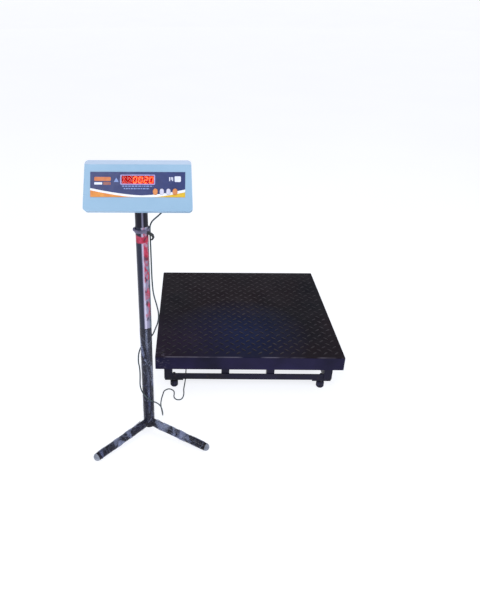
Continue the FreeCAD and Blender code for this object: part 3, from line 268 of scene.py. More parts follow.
def rubber(name, dark, light):
    look = Look(name, Specular_IOR_Level=0.25)
    look.colour(look.mix(look.noise(45, 0.35, 0.7, 6), srgb(*dark), srgb(*light)))
    look.roughness(look.noise(80, 0.3, 0.7, 4), 0.62, 0.85)
    look.bump((look.noise(420, 0.3, 0.7, 3), 0.08 * MM))
    return look.material


def plastic(name, dark, light, rough=0.4, grain=0.05, mottle=22, **sockets):
    """Moulded plastic with a fine spark-eroded grain and handling marks."""
    look = Look(name, **sockets)
    look.colour(look.mix(look.noise(mottle, 0.3, 0.7, 5), srgb(*dark), srgb(*light)))
    look.roughness(look.noise(60, 0.3, 0.7, 5), rough, rough + 0.16)
    look.bump((look.noise(950, 0.3, 0.7, 2), grain * MM))
    return look.material


def board():
    """Solder mask with copper tracks under it."""
    look = Look("board_green", Specular_IOR_Level=0.5)
    tracks = look.cells(260, 0.35, 0.4, look.place)
    look.colour(look.mix(look.times(tracks, 0.5), srgb(16, 84, 48), srgb(44, 128, 70)))
    look.roughness(look.noise(90, 0.3, 0.7, 3), 0.22, 0.4)
    look.bump((tracks, 0.04 * MM))
    return look.material


def cable_jacket(name, dark, light):
    look = Look(name, Specular_IOR_Level=0.35)
    look.colour(look.mix(look.noise(60, 0.35, 0.7, 5), srgb(*dark), srgb(*light)))
    look.roughness(look.noise(120, 0.3, 0.7, 4), 0.42, 0.62)
    look.bump((look.noise(500, 0.3, 0.7, 2), 0.05 * MM))
    return look.material


def pole_paint():
    """Black enamel on the stand, drawn lengthwise, with a painted highlight: a pale lengthwise streak on the pole.
    """
    look = Look("pole_paint", Specular_IOR_Level=0.22)
    runs = look.noise(14, 0.35, 0.65, 5, look.stretched(1, 1, 0.12))
    paint = look.mix(runs, srgb(9, 8, 19), srgb(20, 18, 36))
    # Painted highlight: a pale lengthwise streak at the front of the pole, just right of centre, from the sleeve's
    # lower edge upwards.
    streak = look.streak(look.round_pole(), 0.02, 0.42, 0.14)
    upper = look.between(look.axis("z"), SLEEVE_LOW, SLEEVE_LOW + 10 * MM)
    painted_pole_highlight = look.times(look.times(streak, upper), 0.5)
    look.colour(look.mix(painted_pole_highlight, paint, srgb(176, 172, 204)))
    look.roughness(look.noise(26, 0.3, 0.7, 5), 0.24, 0.42)
    look.bump((look.noise(170, 0.3, 0.7, 3), 0.06 * MM))
    return look.material


def film(name, painted_highlight_streak):
    """Clear packing film: nearly nothing where it lies flat, milky along creases, and with a painted highlight
    streak down the front of the pole's film.
    """
    look = Look(name, Roughness=0.25, Specular_IOR_Level=0.2)
    creases = look.cells(24, 0.0, 0.03, look.stretched(1, 1, 0.5))
    folds = look.between(creases, 0, 1, 1, 0)
    low = 0.58 if painted_highlight_streak else 0.47
    haze = look.noise(17, low, 0.72, 8, look.stretched(1, 1, 0.4 if painted_highlight_streak else 0.8), 1.5)
    cloudy = look.math("MAXIMUM", look.times(folds, 0.22), haze)
    # Painted highlight: a ragged pale streak down the front of the pole's film, drawn as milky film.
    if painted_highlight_streak:
        along = look.math("ADD", look.round_pole(), look.times(look.noise(9, 0.2, 0.8, 3), 0.22))
        ragged = look.noise(20, 0.42, 0.62, 6, look.stretched(1, 1, 0.4))
        streak = look.times(look.streak(along, 0.06, 0.56, 0.16), ragged)
        cloudy = look.math("MAXIMUM", cloudy, look.times(streak, 0.4))
    look.colour(look.mix(look.noise(9, 0.35, 0.65, 3), srgb(84, 92, 134), srgb(176, 186, 218)))
    look.feed(look.shader.inputs["Alpha"], look.between(cloudy, 0, 1, 0.02, 0.8))
    look.bump((folds, 0.4 * MM), (look.noise(50, 0.3, 0.7, 5), 0.8 * MM))
    return look.material


def sleeve_print():
    """A silvery sticker round the pole: a red band near its top and a column of red patches, with painted shade on
    its left and right sides and a painted highlight stripe down its front.
    """
    look = Look("sleeve_print", Specular_IOR_Level=0.25)
    angle = look.round_pole()
    height = look.axis("z")
    silver = look.mix(look.noise(16, 0.35, 0.65, 4, look.stretched(1, 1, 0.35)), srgb(108, 106, 136),
                      srgb(170, 166, 196))
    # Painted shade: the sleeve's left side darkened, and its right side greyed, by the angle round the pole.
    shaded = look.between(angle, 0.02, -0.14)
    silver = look.mix(look.times(shaded, 0.96), silver, srgb(17, 26, 48))
    silver = look.mix(look.between(angle, 0.75, 1.1), silver, srgb(96, 112, 124))
    # Painted highlight: a pale stripe down the front of the sleeve.
    painted_highlight_streak = look.streak(angle, 0, 0.36, 0.08)
    silver = look.mix(look.times(painted_highlight_streak, 0.8), silver, srgb(206, 202, 228))
    red = look.mix(look.noise(70, 0.3, 0.7, 4), srgb(156, 20, 50), srgb(196, 70, 102))
    wobble = look.times(look.noise(30, 0.2, 0.8, 3), 9 * MM)
    band_height = look.math("ADD", height, wobble)
    band = look.times(look.between(band_height, SLEEVE_HIGH - 52 * MM, SLEEVE_HIGH - 49 * MM),
                      look.between(band_height, SLEEVE_HIGH - 23 * MM, SLEEVE_HIGH - 27 * MM))
    column = look.times(look.between(angle, 0.1, 0.34), look.between(angle, 1.3, 1.0))
    patches = look.noise(44, 0.4, 0.56, 5, look.stretched(1, 1, 0.7), 1.2)
    lower = look.between(height, SLEEVE_LOW + 40 * MM, SLEEVE_LOW + 60 * MM)
    blots = look.times(look.times(column, patches), lower)
    dark = look.times(column, look.noise(52, 0.55, 0.64, 4, look.stretched(1.3, 1.3, 1)))
    colour = look.mix(look.math("MAXIMUM", band, blots), silver, red)
    look.colour(look.mix(look.times(dark, 0.8), colour, srgb(44, 36, 56)))
    look.roughness(look.noise(30, 0.3, 0.7, 4), 0.12, 0.3)
    look.bump((look.noise(40, 0.3, 0.7, 3, look.stretched(1, 1, 0.3)), 0.5 * MM))
    return look.material


def housing_blue():
    """Light blue moulded plastic with a fine grain, and a painted highlight: a paler strip on the top bevel, which
    faces up towards the light.
    """
    look = Look("housing_blue", Specular_IOR_Level=0.4)
    blue = look.mix(look.noise(6, 0.3, 0.7, 4), srgb(140, 176, 206), srgb(150, 184, 212))
    # Painted highlight: the top bevel, which faces the light, made paler.
    painted_bevel_highlight = look.times(look.between(look.in_head(HEAD_UP, TILT_RISE), 140.5 * MM, 142 * MM),
                          look.between(look.in_head(HEAD_IN, TILT_DEPTH), 12 * MM, 10.5 * MM))
    look.colour(look.mix(painted_bevel_highlight, blue, srgb(174, 192, 216)))
    look.roughness(look.noise(50, 0.3, 0.7, 4), 0.38, 0.52)
    look.bump((look.noise(1100, 0.3, 0.7, 2), 0.04 * MM))
    return look.material


def ink(name, dark, light, rough=0.3):
    """Ink on the back of a satin film."""
    look = Look(name, Specular_IOR_Level=0.45)
    look.colour(look.mix(look.noise(40, 0.3, 0.7, 4), srgb(*dark), srgb(*light)))
    look.roughness(look.noise(90, 0.3, 0.7, 3), rough, rough + 0.12)
    look.bump((look.noise(1300, 0.3, 0.7, 2), 0.02 * MM))
    return look.material


def glowing(name, glow, strength, tint=None, rough=0.2, **sockets):
    """Red plastic of the display that emits light; tint is its own colour where it is not the glow's. Only the lit
    segments are real lamps: the glow of the window, the digit modules and the unlit segments is painted light.
    """
    look = Look(name, Emission_Strength=strength, Emission_Color=srgb(*glow), **sockets)
    tint = tint or glow
    paler = tuple(min(255, level + 14) for level in tint)
    look.colour(look.mix(look.noise(80, 0.3, 0.7, 3), srgb(*tint), srgb(*paler)))
    look.roughness(look.noise(60, 0.3, 0.7, 3), rough, rough + 0.1)
    return look.material


MATERIALS = {
    "deck_paint": deck_paint(),
    "frame_paint": frame_paint(),
    "cell_steel": metal("cell_steel", (128, 130, 136), (168, 170, 176), 0.32, 90),
    "fastener_zinc": metal("fastener_zinc", (120, 116, 104), (170, 168, 158), 0.35, 160),
    "pad_rubber": rubber("pad_rubber", (24, 24, 26), (46, 46, 50)),
    "foot_rubber": rubber("foot_rubber", (22, 21, 34), (48, 46, 74)),
    "box_grey": plastic("box_grey", (120, 124, 128), (146, 150, 154)),
    "gland_black": plastic("gland_black", (22, 22, 26), (36, 36, 42), 0.45),
    "board_green": board(),
    "cable_jacket": cable_jacket("cable_jacket", (44, 58, 62), (74, 88, 92)),
    "pole_paint": pole_paint(),
    "leg_cap": plastic("leg_cap", (92, 98, 112), (150, 156, 172), 0.35, 0.08, 60),
    "sleeve_print": sleeve_print(),
    "strap_black": plastic("strap_black", (18, 20, 24), (38, 42, 46), 0.5, 0.12),
    "bracket_paint": plastic("bracket_paint", (24, 24, 28), (42, 42, 50), 0.35, 0.1),
    "knob_black": plastic("knob_black", (20, 20, 24), (38, 38, 44), 0.45, 0.1),
    "housing_blue": housing_blue(),
    "panel_print": ink("panel_navy", (22, 38, 96), (30, 48, 110)),
    # Painted light: the red window glows faintly, though it is no lamp.
    "window_red": glowing("window_red", (214, 14, 26), 0.12, (255, 180, 170), 0.03, Transmission_Weight=1.0,
                          IOR=1.2),
    # Painted light: the dark digit modules glow, though they are no lamp.
    "digit_red": glowing("digit_dark_red", (200, 12, 24), 0.5, (120, 10, 18), 0.6, Specular_IOR_Level=0.1),
    "switch_black": plastic("switch_black", (20, 20, 24), (36, 36, 42), 0.3),
    "battery_case": plastic("battery_case", (40, 44, 60), (58, 62, 78), 0.42),
    "key_orange": plastic("key_orange", (200, 120, 62), (216, 140, 82), 0.4, 0.02),
    "key_white": plastic("key_white", (190, 190, 218), (208, 208, 230), 0.4, 0.02),
}


# ---------------------------------------------------------------- making pieces

def angles(around):
    """Equal steps round a circle."""
    return [2 * math.pi * i / around for i in range(around)]


def placed(name, data):
    thing = bpy.data.objects.new(name, data)
    bpy.context.scene.collection.objects.link(thing)
    return thing


def turned_out(mesh):
    """Makes the faces of a closed mesh look outwards."""
    build = bmesh.new()
    build.from_mesh(mesh)
    bmesh.ops.recalc_face_normals(build, faces=build.faces)
    build.to_mesh(mesh)
    build.free()


def piece(name, points, faces, material, body, smooth):
    """A mesh of one material; see finished."""
    mesh = bpy.data.meshes.new(name)
    mesh.from_pydata([tuple(point) for point in points], [], faces)
    mesh.materials.append(material)
    return finished(name, mesh, body, smooth)


def finished(name, mesh, body, smooth):
    """Smooths a mesh except across edges over so many degrees, and has it ride on a body, if there is one."""
    thing = placed(name, mesh)
    turned_out(mesh)
    thing.data.shade_smooth()
    thing.data.set_sharp_from_angle(angle=math.radians(smooth))
    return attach(thing, body) if body else thing


def dress_cad():
    """Gives every CAD node the procedural material of its own slot."""
    slots = {}
    for entry in frame["record"]["materials"]:
        for node in entry.get("nodes", []):
            slots[node] = entry["slot"]
    for name, thing in NODES.items():
        own = slots.get(name)
        for index, place in enumerate(thing.material_slots):
            key = own or (place.material.name if place.material else "")
            if key in MATERIALS:
                place.material = MATERIALS[key]
            else:
                print("no material for", name, index, key)


def band_faces(rings, around):
    """Quads between rings of points."""
    faces = []
    for ring in range(rings - 1):
        near = ring * around
        far = near + around
        for i in range(around):
            j = (i + 1) % around
            faces.append((near + i, near + j, far + j, far + i))
    return faces


def loop_faces(rings, around):
    """Quads between rings of points, with the first and last ring filled in."""
    ends = [tuple(reversed(range(around))), tuple(range((rings - 1) * around, rings * around))]
    return band_faces(rings, around) + ends


# ---------------------------------------------------------------- deck lugs

LUG_PITCH = 46 * MM
LUG_LENGTH = 27 * MM
LUG_WIDTH = 9.5 * MM
LUG_HEIGHT = 1.8 * MM
LUG_ROOT = 0.2 * MM
LUG_STATIONS = (-1, -0.8, -0.45, 0, 0.45, 0.8, 1)
LUG_SECTION = ((-1, 0), (-0.6, 0.82), (0, 1), (0.6, 0.82), (1, 0), (0, -1))


def lug(centre, angle):
    """The points of one lens-shaped lug, crowned along and across."""
    turn = Matrix.Rotation(angle, 3, "Z")
    points = []
    for station in LUG_STATIONS:
        width = LUG_WIDTH / 2 * max(0.06, 1 - station ** 2) ** 0.75
        height = LUG_HEIGHT * max(0, 1 - station ** 4)
        for across, share in LUG_SECTION:
            up = -LUG_ROOT if share <= 0 else height * share
            points.append(centre + turn @ Vector((station * LUG_LENGTH / 2, across * width, up)))
    return points


def deck_lugs():
    """Rolled lugs in a square lattice, each with its long side towards its neighbour's end."""
    spans = int((DECK_HIGH.x - DECK_LOW.x) / LUG_PITCH) // 2
    shapes = loop_faces(len(LUG_STATIONS), len(LUG_SECTION))
    points = []
    faces = []
    for angle, reach in ((math.radians(45), spans), (math.radians(-45), spans - 0.5)):
        steps = int(2 * reach) + 1
        for i in range(steps):
            for j in range(steps):
                offset = Vector(((i - reach) * LUG_PITCH, (j - reach) * LUG_PITCH, 0))
                first = len(points)
                points += lug(Vector((DECK_MIDDLE.x, DECK_MIDDLE.y, DECK_TOP)) + offset, angle)
                faces += [tuple(first + k for k in face) for face in shapes]
    piece("deck_lugs", points, faces, lug_paint(), "deck", 60)


# ---------------------------------------------------------------- indicator panel

PANEL_HALF = 143 * MM
PANEL_LOW = 42.5 * MM
PANEL_HIGH = 118.5 * MM
PANEL_THICK = 0.8 * MM
WINDOW_HALF = 51.5 * MM
WINDOW_LOW = 80.5 * MM
WINDOW_HIGH = 109.5 * MM
KEYS = (("key_zero", 53, "key_orange", 7.2, 9.6), ("key_tare", 72.8, "key_white", 6.5, 9.1),
        ("key_mode", 92.6, "key_white", 6.5, 9.1), ("key_print", 112.4, "key_orange", 7.2, 9.6))
KEY_MIDDLE = 59 * MM

# Depth and inset of a key's rings, from its back to its crown, in millimetres.
KEY_RINGS = ((3.3, 0), (-0.7, 0), (-1.25, 0.4), (-1.55, 1.3), (-1.68, 3.1), (-1.72, 4.8))
KEY_GAP = 0.4

# The navy field's lower edge: its lowest point, then the reach and the rise of the bowl on either side.
BOWL_X = 12 * MM
BOWL_Z = 48 * MM
BOWL_LEFT = (155 * MM, 21.5 * MM)
BOWL_RIGHT = (131 * MM, 18 * MM)


def navy_edge(x):
    """Height of the navy field's lower edge: a shallow bowl, higher at the left end."""
    reach, rise = BOWL_LEFT if x < BOWL_X else BOWL_RIGHT
    return BOWL_Z + rise * abs((x - BOWL_X) / reach) ** 1.55


def white_edge(x):
    """Height of the white swoosh's lower edge, which meets the panel's edge in the middle."""
    return max(PANEL_LOW, navy_edge(x) - (6.5 if x < 0 else 8) * MM)


def panel_print():
    """The printed overlay: navy field, white swoosh, an orange and a yellow wedge."""
    colours = [MATERIALS["panel_print"], ink("panel_white", (226, 230, 242), (242, 244, 250)),
               ink("panel_orange", (208, 118, 34), (222, 148, 58)),
               ink("panel_yellow", (212, 166, 30), (224, 192, 48))]
    columns = 96
    points = []
    kinds = []
    faces = []
    for i in range(columns + 1):
        x = -PANEL_HALF + 2 * PANEL_HALF * i / columns
        for z in (PANEL_LOW, white_edge(x) + 0.01 * MM, navy_edge(x), PANEL_HIGH):
            points.append((x, -PANEL_THICK, z))
        for z in (PANEL_LOW, PANEL_HIGH):
            points.append((x, 0, z))
    for i in range(columns):
        a = 6 * i
        b = a + 6
        x = -PANEL_HALF + 2 * PANEL_HALF * (i + 0.5) / columns
        for row, kind in ((0, 2 if x < 0 else 3), (1, 1), (2, 0)):
            faces.append((a + row, b + row, b + row + 1, a + row + 1))
            kinds.append(kind)
        for face in ((a + 3, b + 3, b + 5, a + 5), (b, a, a + 4, b + 4), (a + 4, a + 5, b + 5, b + 4)):
            faces.append(face)
            kinds.append(0)
    last = 6 * columns
    for face in ((0, 1, 2, 3, 5, 4), (last + 4, last + 5, last + 3, last + 2, last + 1, last)):
        faces.append(face)
        kinds.append(0)
    mesh = bpy.data.meshes.new("panel_blank")
    mesh.from_pydata(points, [], faces)
    for polygon, kind in zip(mesh.polygons, kinds):
        polygon.material_index = kind
    for colour in colours:
        mesh.materials.append(colour)
    blank = placed("panel_blank", mesh)
    cutters = [cutter(rounded(-WINDOW_HALF, WINDOW_HALF, WINDOW_LOW, WINDOW_HIGH, 2 * MM))]
    for name, x, slot, half_width, half_height in KEYS:
        cutters.append(cutter(oval(x, half_width + KEY_GAP, half_height + KEY_GAP)))
    for tool in cutters:
        trim = blank.modifiers.new("opening", "BOOLEAN")
        trim.operation = "DIFFERENCE"
        trim.solver = "EXACT"
        trim.object = tool
    ready = bpy.data.meshes.new_from_object(blank.evaluated_get(bpy.context.evaluated_depsgraph_get()))
    for tool in [blank, *cutters]:
        bpy.data.objects.remove(tool)
    ready.transform(HEAD)
    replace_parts(finished("panel_overlay_print", ready, "head", 30), "panel_overlay")


def oval(x, half_width, half_height):
    """A key's outline, between an ellipse and a rectangle; sizes in millimetres."""
    outline = []
    for angle in angles(40):
        cosine, sine = math.cos(angle), math.sin(angle)
        wide = half_width * math.copysign(abs(cosine) ** 0.82, cosine)
        tall = half_height * math.copysign(abs(sine) ** 0.82, sine)
        outline.append(((x + wide) * MM, KEY_MIDDLE + tall * MM))
    return outline


def cutter(outline):
    """A prism through the panel."""
    mesh = bpy.data.meshes.new("cutter")
    points = [(x, depth, z) for depth in (-5 * MM, 5 * MM) for x, z in outline]
    mesh.from_pydata(points, [], loop_faces(2, len(outline)))
    turned_out(mesh)
    return placed("cutter", mesh)


def slabs(name, outlines, front, back, material):
    """Flat raised shapes on the display's face, each from an outline of x and z."""
    points = []
    faces = []
    for outline in outlines:
        first = len(points)
        count = len(outline)
        for depth in (front, back):
            points += [HEAD @ Vector((x, depth, z)) for x, z in outline]
        faces.append(tuple(range(first, first + count)))
        faces.append(tuple(reversed(range(first + count, first + 2 * count))))
        for i in range(count):
            j = (i + 1) % count
            faces.append((first + j, first + i, first + count + i, first + count + j))
    piece(name, points, faces, material, "head", 30)


def rounded(left, right, low, high, radius, steps=4):
    """The outline of a rectangle with round corners."""
    outline = []
    corners = ((right - radius, low + radius, -90), (right - radius, high - radius, 0),
               (left + radius, high - radius, 90), (left + radius, low + radius, 180))
    for x, z, start in corners:
        for step in range(steps + 1):
            angle = math.radians(start + 90 * step / steps)
            outline.append((x + radius * math.cos(angle), z + radius * math.sin(angle)))
    return outline


def panel_marks():
    """Plain blocks, bars and dashes where a panel carries its print."""
    front = -PANEL_THICK - 0.12 * MM
    back = -PANEL_THICK + 0.05 * MM
    orange = ink("mark_orange", (190, 98, 52), (206, 122, 66))
    pale = ink("mark_pale", (214, 220, 246), (232, 236, 252))
    sky = ink("mark_sky", (112, 136, 196), (132, 154, 208))
    brown = ink("mark_brown", (124, 72, 74), (146, 88, 82))
    for name, left, right, low, high, radius, colour in (
            ("mark_block", -131, -81, 91, 103, 3, orange), ("mark_bar_pale", -131, -107, 80, 87, 2, pale),
            ("mark_bar_brown", -104, -81, 79, 88, 2, brown)):
        outline = rounded(left * MM, right * MM, low * MM, high * MM, radius * MM)
        slabs(name, [outline], front, back, colour)
    triangle = [(-72 * MM, 88 * MM), (-57 * MM, 88 * MM), (-64.5 * MM, 101 * MM)]
    slabs("mark_triangle", [triangle], front, back, sky)
    badge = [rounded(111 * MM, 130 * MM, 88.5 * MM, 105.5 * MM, 3 * MM)]
    badge += [rounded((95 + 4.6 * i) * MM, (97.4 + 4.6 * i) * MM, (91 + 3 * (i % 2)) * MM, 103 * MM, 1 * MM)
              for i in range(3)]
    slabs("mark_badge", badge, front, back, pale)
    random.seed(5)
    dashes = []
    for low, left, right in ((74, -47, 47), (66.5, -42, 36)):
        x = left
        while x < right:
            width = random.uniform(3.5, 9)
            dashes.append(rounded(x * MM, min(right, x + width) * MM, low * MM, (low + 3.2) * MM, 1 * MM, 2))
            x += width + 2
    slabs("mark_dashes", dashes, front, back, sky)


def window_frame():
    """The pale border printed round the display window."""
    half = WINDOW_HALF + 1 * MM
    outer = rounded(-half, half, WINDOW_LOW - 0.8 * MM, WINDOW_HIGH + 0.8 * MM, 3.5 * MM)
    half = WINDOW_HALF - 2.6 * MM
    inner = rounded(-half, half, WINDOW_LOW + 2.2 * MM, WINDOW_HIGH - 2.2 * MM, 2 * MM)
    count = len(outer)
    points = []
    for depth in (-PANEL_THICK - 0.25 * MM, -PANEL_THICK + 0.02 * MM):
        for outline in (outer, inner):
            points += [HEAD @ Vector((x, depth, z)) for x, z in outline]
    faces = []
    for i in range(count):
        j = (i + 1) % count
        faces.append((i, j, count + j, count + i))
        faces.append((2 * count + j, 2 * count + i, 3 * count + i, 3 * count + j))
        faces.append((j, i, 2 * count + i, 2 * count + j))
        faces.append((count + i, count + j, 3 * count + j, 3 * count + i))
    piece("window_border", points, faces, ink("border_lilac", (150, 140, 200), (176, 164, 218)), "head",
          30)


DIGIT_PITCH = 16.3 * MM
DIGIT_MIDDLE = 95 * MM
DIGIT_HALF = 4.9 * MM
DIGIT_RISE = 8.6 * MM
SEGMENT_HALF = 1.3 * MM
SEGMENT_LEAN = 0.12
SEGMENTS = {"a": ((-1, 1), (1, 1)), "b": ((1, 1), (1, 0)), "c": ((1, 0), (1, -1)), "d": ((1, -1), (-1, -1)),
            "e": ((-1, -1), (-1, 0)), "f": ((-1, 0), (-1, 1)), "g": ((-1, 0), (1, 0))}
SHAPES = {"0": "abcdef", "2": "abged"}
READING = ("", "", "0", "0", "2", "0")


def segment(centre, ends):
    """The six-sided outline of one bar of a seven-segment digit."""
    first, last = (Vector((centre + i * DIGIT_HALF, DIGIT_MIDDLE + j * DIGIT_RISE)) for i, j in ends)
    along = (last - first).normalized()
    across = Vector((-along.y, along.x)) * SEGMENT_HALF
    first += along * 0.35 * MM
    last -= along * 0.35 * MM
    step = along * SEGMENT_HALF
    outline = [first, first + step + across, last - step + across, last, last - step - across,
               first + step - across]
    return [(point.x + (point.y - DIGIT_MIDDLE) * SEGMENT_LEAN, point.y) for point in outline]


def digits():
    """Seven-segment bars in front of the digit modules: a lit reading, and the rest dark red with a painted glow.
    """
    lit = []
    dark = []
    for place, shown in enumerate(READING):
        centre = (place - 2.5) * DIGIT_PITCH
        for bar, ends in SEGMENTS.items():
            target = lit if shown and bar in SHAPES[shown] else dark
            target.append(segment(centre, ends))
    bright = glowing("segment_lit", (255, 104, 46), 3.6)
    # Painted light: the unlit segments glow dull red, though they are no lamp.
    unlit_painted_glow = glowing("segment_dark", (176, 10, 20), 0.4, (96, 8, 14), 0.6)
    slabs("digits_lit", lit, 3.4 * MM, 4.05 * MM, bright)
    slabs("digits_dark", dark, 3.6 * MM, 4.05 * MM, unlit_painted_glow)


def key_caps():
    """Domed keys with softly rounded outlines."""
    for name, x, slot, half_width, half_height in KEYS:
        points = []
        for depth, inset in KEY_RINGS:
            outline = oval(x, half_width - inset, half_height - inset)
            points += [HEAD @ Vector((across, depth * MM, up)) for across, up in outline]
        faces = loop_faces(len(KEY_RINGS), len(outline))
        cap = piece(name + "_cap", points, faces, MATERIALS[slot], name, 50)
        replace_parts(cap, name)


# ---------------------------------------------------------------- packing film

def crinkle(point, coarse, fine):
    """How far the film stands off at a point, in millimetres, in sharp irregular folds."""
    broad = noise.noise(Vector(point) * coarse)
    sharp = 1 - abs(noise.noise(Vector(point) * fine + Vector((7, 3, 1)))) * 2.6
    return 0.9 + 1.1 * broad + 0.9 * max(0, sharp)


def film_tube(name, axis, start, end, radius, flare, material, floor=0):
    """Film wound round a tube from start to end, which are points on its axis; it stays above the floor."""
    length = (end - start).length
    side = axis.orthogonal().normalized()
    other = axis.cross(side)
    around = 44
    rings = max(12, int(length / (5 * MM)))
    points = []
    for ring in range(rings + 1):
        share = ring / rings
        centre = start + (end - start) * share
        for angle in angles(around):
            out = side * math.cos(angle) + other * math.sin(angle)
            on_tube = centre + out * radius
            stand_off = crinkle((on_tube.x, on_tube.y, on_tube.z), 20, 34) * flare(share)
            point = centre + out * (radius + max(0.15, stand_off) * MM)
            point.z = max(point.z, floor)
            points.append(point)
    faces = band_faces(rings + 1, around)
    thing = piece(name, points, faces, material, "base", 25)
    thick = thing.modifiers.new("thickness", "SOLIDIFY")
    thick.thickness = 0.06 * MM
    thick.offset = 1


def packing_film():
    """Film round the pole below its sleeve and along the three legs, flaring where they meet."""
    hub = Vector((POLE.x, POLE.y, LEG_RADIUS + LEG_REACH * math.sin(LEG_DROP)))
    up = Vector((0, 0, 1))
    film_tube("film_pole", up, hub + up * 12 * MM, Vector((POLE.x, POLE.y, SLEEVE_LOW - 2 * MM)), POLE_RADIUS,
              lambda share: 1 + 2.6 * max(0, 0.12 - share) / 0.12, film("packing_film_painted_highlight", True))
    clear = film("packing_film", False)
    for leg in ("leg_left", "leg_right", "leg_back"):
        low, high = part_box(leg)
        level = (low + high) / 2 - POLE
        level.z = 0
        axis = level.normalized() * math.cos(LEG_DROP) - up * math.sin(LEG_DROP)
        film_tube("film_" + leg, axis, hub + axis * 30 * MM, hub + axis * 238 * MM, LEG_RADIUS,
                  lambda share: 1.25 + 1.6 * max(0, 0.2 - share) / 0.2, clear, 0.4 * MM)


# ---------------------------------------------------------------- strap

def swept(name, path, widths, material, body, around=14, flat=1.0):
    """A closed tube along a list of points with a radius at each; flat squeezes it sideways."""
    points = []
    count = len(path)
    before = None
    for i, (centre, radius) in enumerate(zip(path, widths)):
        ahead = (path[min(i + 1, count - 1)] - path[max(i - 1, 0)]).normalized()
        side = (before - ahead * before.dot(ahead) if before else ahead.orthogonal()).normalized()
        before = side
        other = ahead.cross(side)
        for angle in angles(around):
            points.append(centre + side * radius * math.cos(angle) + other * radius * flat * math.sin(angle))
    return piece(name, points, loop_faces(count, around), material, body, 60)


def cable_strap():
    """A rubber strap round the pole, with a button at its left and a hooked tail that holds the cable."""
    material = MATERIALS["strap_black"]
    half = (STRAP_HIGH - STRAP_LOW) / 2
    level = STRAP_LOW + half
    inner = POLE_RADIUS + 0.6 * MM
    around = 64
    section = ((0, -0.72), (1.6, -1), (3.2, -0.9), (3.9, -0.5), (4.1, 0), (3.9, 0.5), (3.2, 0.9), (1.6, 1),
               (0, 0.72), (0, 0))
    points = []
    faces = []
    for angle in angles(around):
        sag = 1.4 * MM * math.sin(angle + 0.6) + 0.5 * MM * math.sin(3 * angle)
        for thick, rise in section:
            radius = inner + thick * MM * (1 + 0.12 * math.sin(2 * angle + 1))
            points.append(Vector((POLE.x + radius * math.cos(angle), POLE.y + radius * math.sin(angle),
                                  level + sag + rise * half * 0.8)))
    count = len(section)
    for i in range(around):
        j = (i + 1) % around
        for k in range(count):
            m = (k + 1) % count
            faces.append((i * count + k, j * count + k, j * count + m, i * count + m))
    grey = plastic("strap_grey", (74, 70, 96), (122, 114, 146), 0.35, 0.1, 70)
    band = piece("strap_band", points, faces, grey, "base", 50)
    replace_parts(band, "cable_strap")
    reach = POLE_RADIUS
    tail = ((-3, -15, -2), (3, -13, -9), (9, -10, -13), (14, -6, -19), (16, -2, -28), (12, 0, -36),
            (7, 0, -38))
    path = [Vector((POLE.x + reach + x * MM, POLE.y + y * MM, level + z * MM)) for x, y, z in tail]
    swept("strap_hook", path, [radius * MM for radius in (4.2, 5, 5.4, 5.2, 4.6, 3.8, 2.6)], material, "base",
          12, 0.8)
    centre = Vector((POLE.x - POLE_RADIUS - 3 * MM, POLE.y - 6 * MM, level + 2 * MM))
    button = [centre + Vector((x * MM, 0, 0)) for x in (3, -1.5, -4, -5)]
    swept("strap_button", button, [6.4 * MM, 6.8 * MM, 5.2 * MM, 2.6 * MM], grey, "base", 20)


# ---------------------------------------------------------------- signal cable

CABLE_DIAMETER = 5 * MM

# Routes in millimetres from the pole's axis and the floor.
CABLE_ROUTE = (
    (26.5, 0, 862), (26.5, 0, 832), (27.2, -1.0, 786), (27.5, 0.5, 730), (28.0, -0.5, 672),
    (31.0, 1.0, 618), (41.0, 1.5, 578), (49.0, -1.0, 538), (45.0, 1.0, 502), (33.0, 5.0, 470),
    (25.0, 17.0, 442), (9.0, 30.0, 416), (-15.0, 29.0, 394), (-30.5, 12.0, 368), (-32.0, -6.0, 335),
    (-29.0, 8.0, 298), (-29.0, 11.0, 256), (-30.0, -9.0, 220), (-12.0, -31.5, 197),
    (14.0, -32.0, 172), (34.0, -14.0, 150), (48.0, 10.0, 112), (52.0, 34.0, 62), (50.0, 62.0, 20),
    (46.0, 104.0, 2.5), (36.0, 152.0, 2.5), (38.0, 194.0, 2.5), (43.0, 222.0, 2.5),
    (46.0, 247.0, 2.5), (68.5, 264.0, 2.5), (91.0, 247.0, 2.5), (92.0, 225.0, 2.5),
    (90.0, 204.0, 2.5), (101.0, 186.0, 2.5), (121.0, 186.0, 2.5), (131.0, 204.0, 2.5),
    (134.0, 230.0, 2.5), (132.0, 260.0, 2.5), (136.0, 288.0, 6.0), (139.5, 310.0, 20.0),
    (141.0, 322.0, 40.0), (142.0, 334.0, 62.0), (142.0, 355.0, 62.0),
)
LEAD_ROUTE = ((75, -18.197, 941.036), (75, -4.070, 933.524), (72, 6, 922), (56, 5.5, 906),
              (26.5, 0, 882), (26.5, 0, 862))


def nurbs(name, route, bevel):
    """A smooth open curve whose control points are a route's points."""
    curve = bpy.data.curves.new(name, "CURVE")
    curve.dimensions = "3D"
    spline = curve.splines.new("NURBS")
    spline.points.add(len(route) - 1)
    for point, (x, y, z) in zip(spline.points, route):
        point.co = (POLE.x + x * MM, POLE.y + y * MM, z * MM, 1)
    spline.order_u = 3
    spline.use_endpoint_u = True
    spline.resolution_u = 10
    curve.bevel_depth = bevel
    curve.bevel_resolution = 4
    curve.use_fill_caps = bevel > 0
    return placed(name, curve)


def signal_cable():
    """The cable from the strap down the pole, over the floor in an S, and up to the junction box."""
    material = MATERIALS["cable_jacket"]
    cable = nurbs("signal_cable_line", CABLE_ROUTE, CABLE_DIAMETER / 2)
    cable.data.materials.append(material)
    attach(cable, "base")
    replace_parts(cable, "signal_cable")


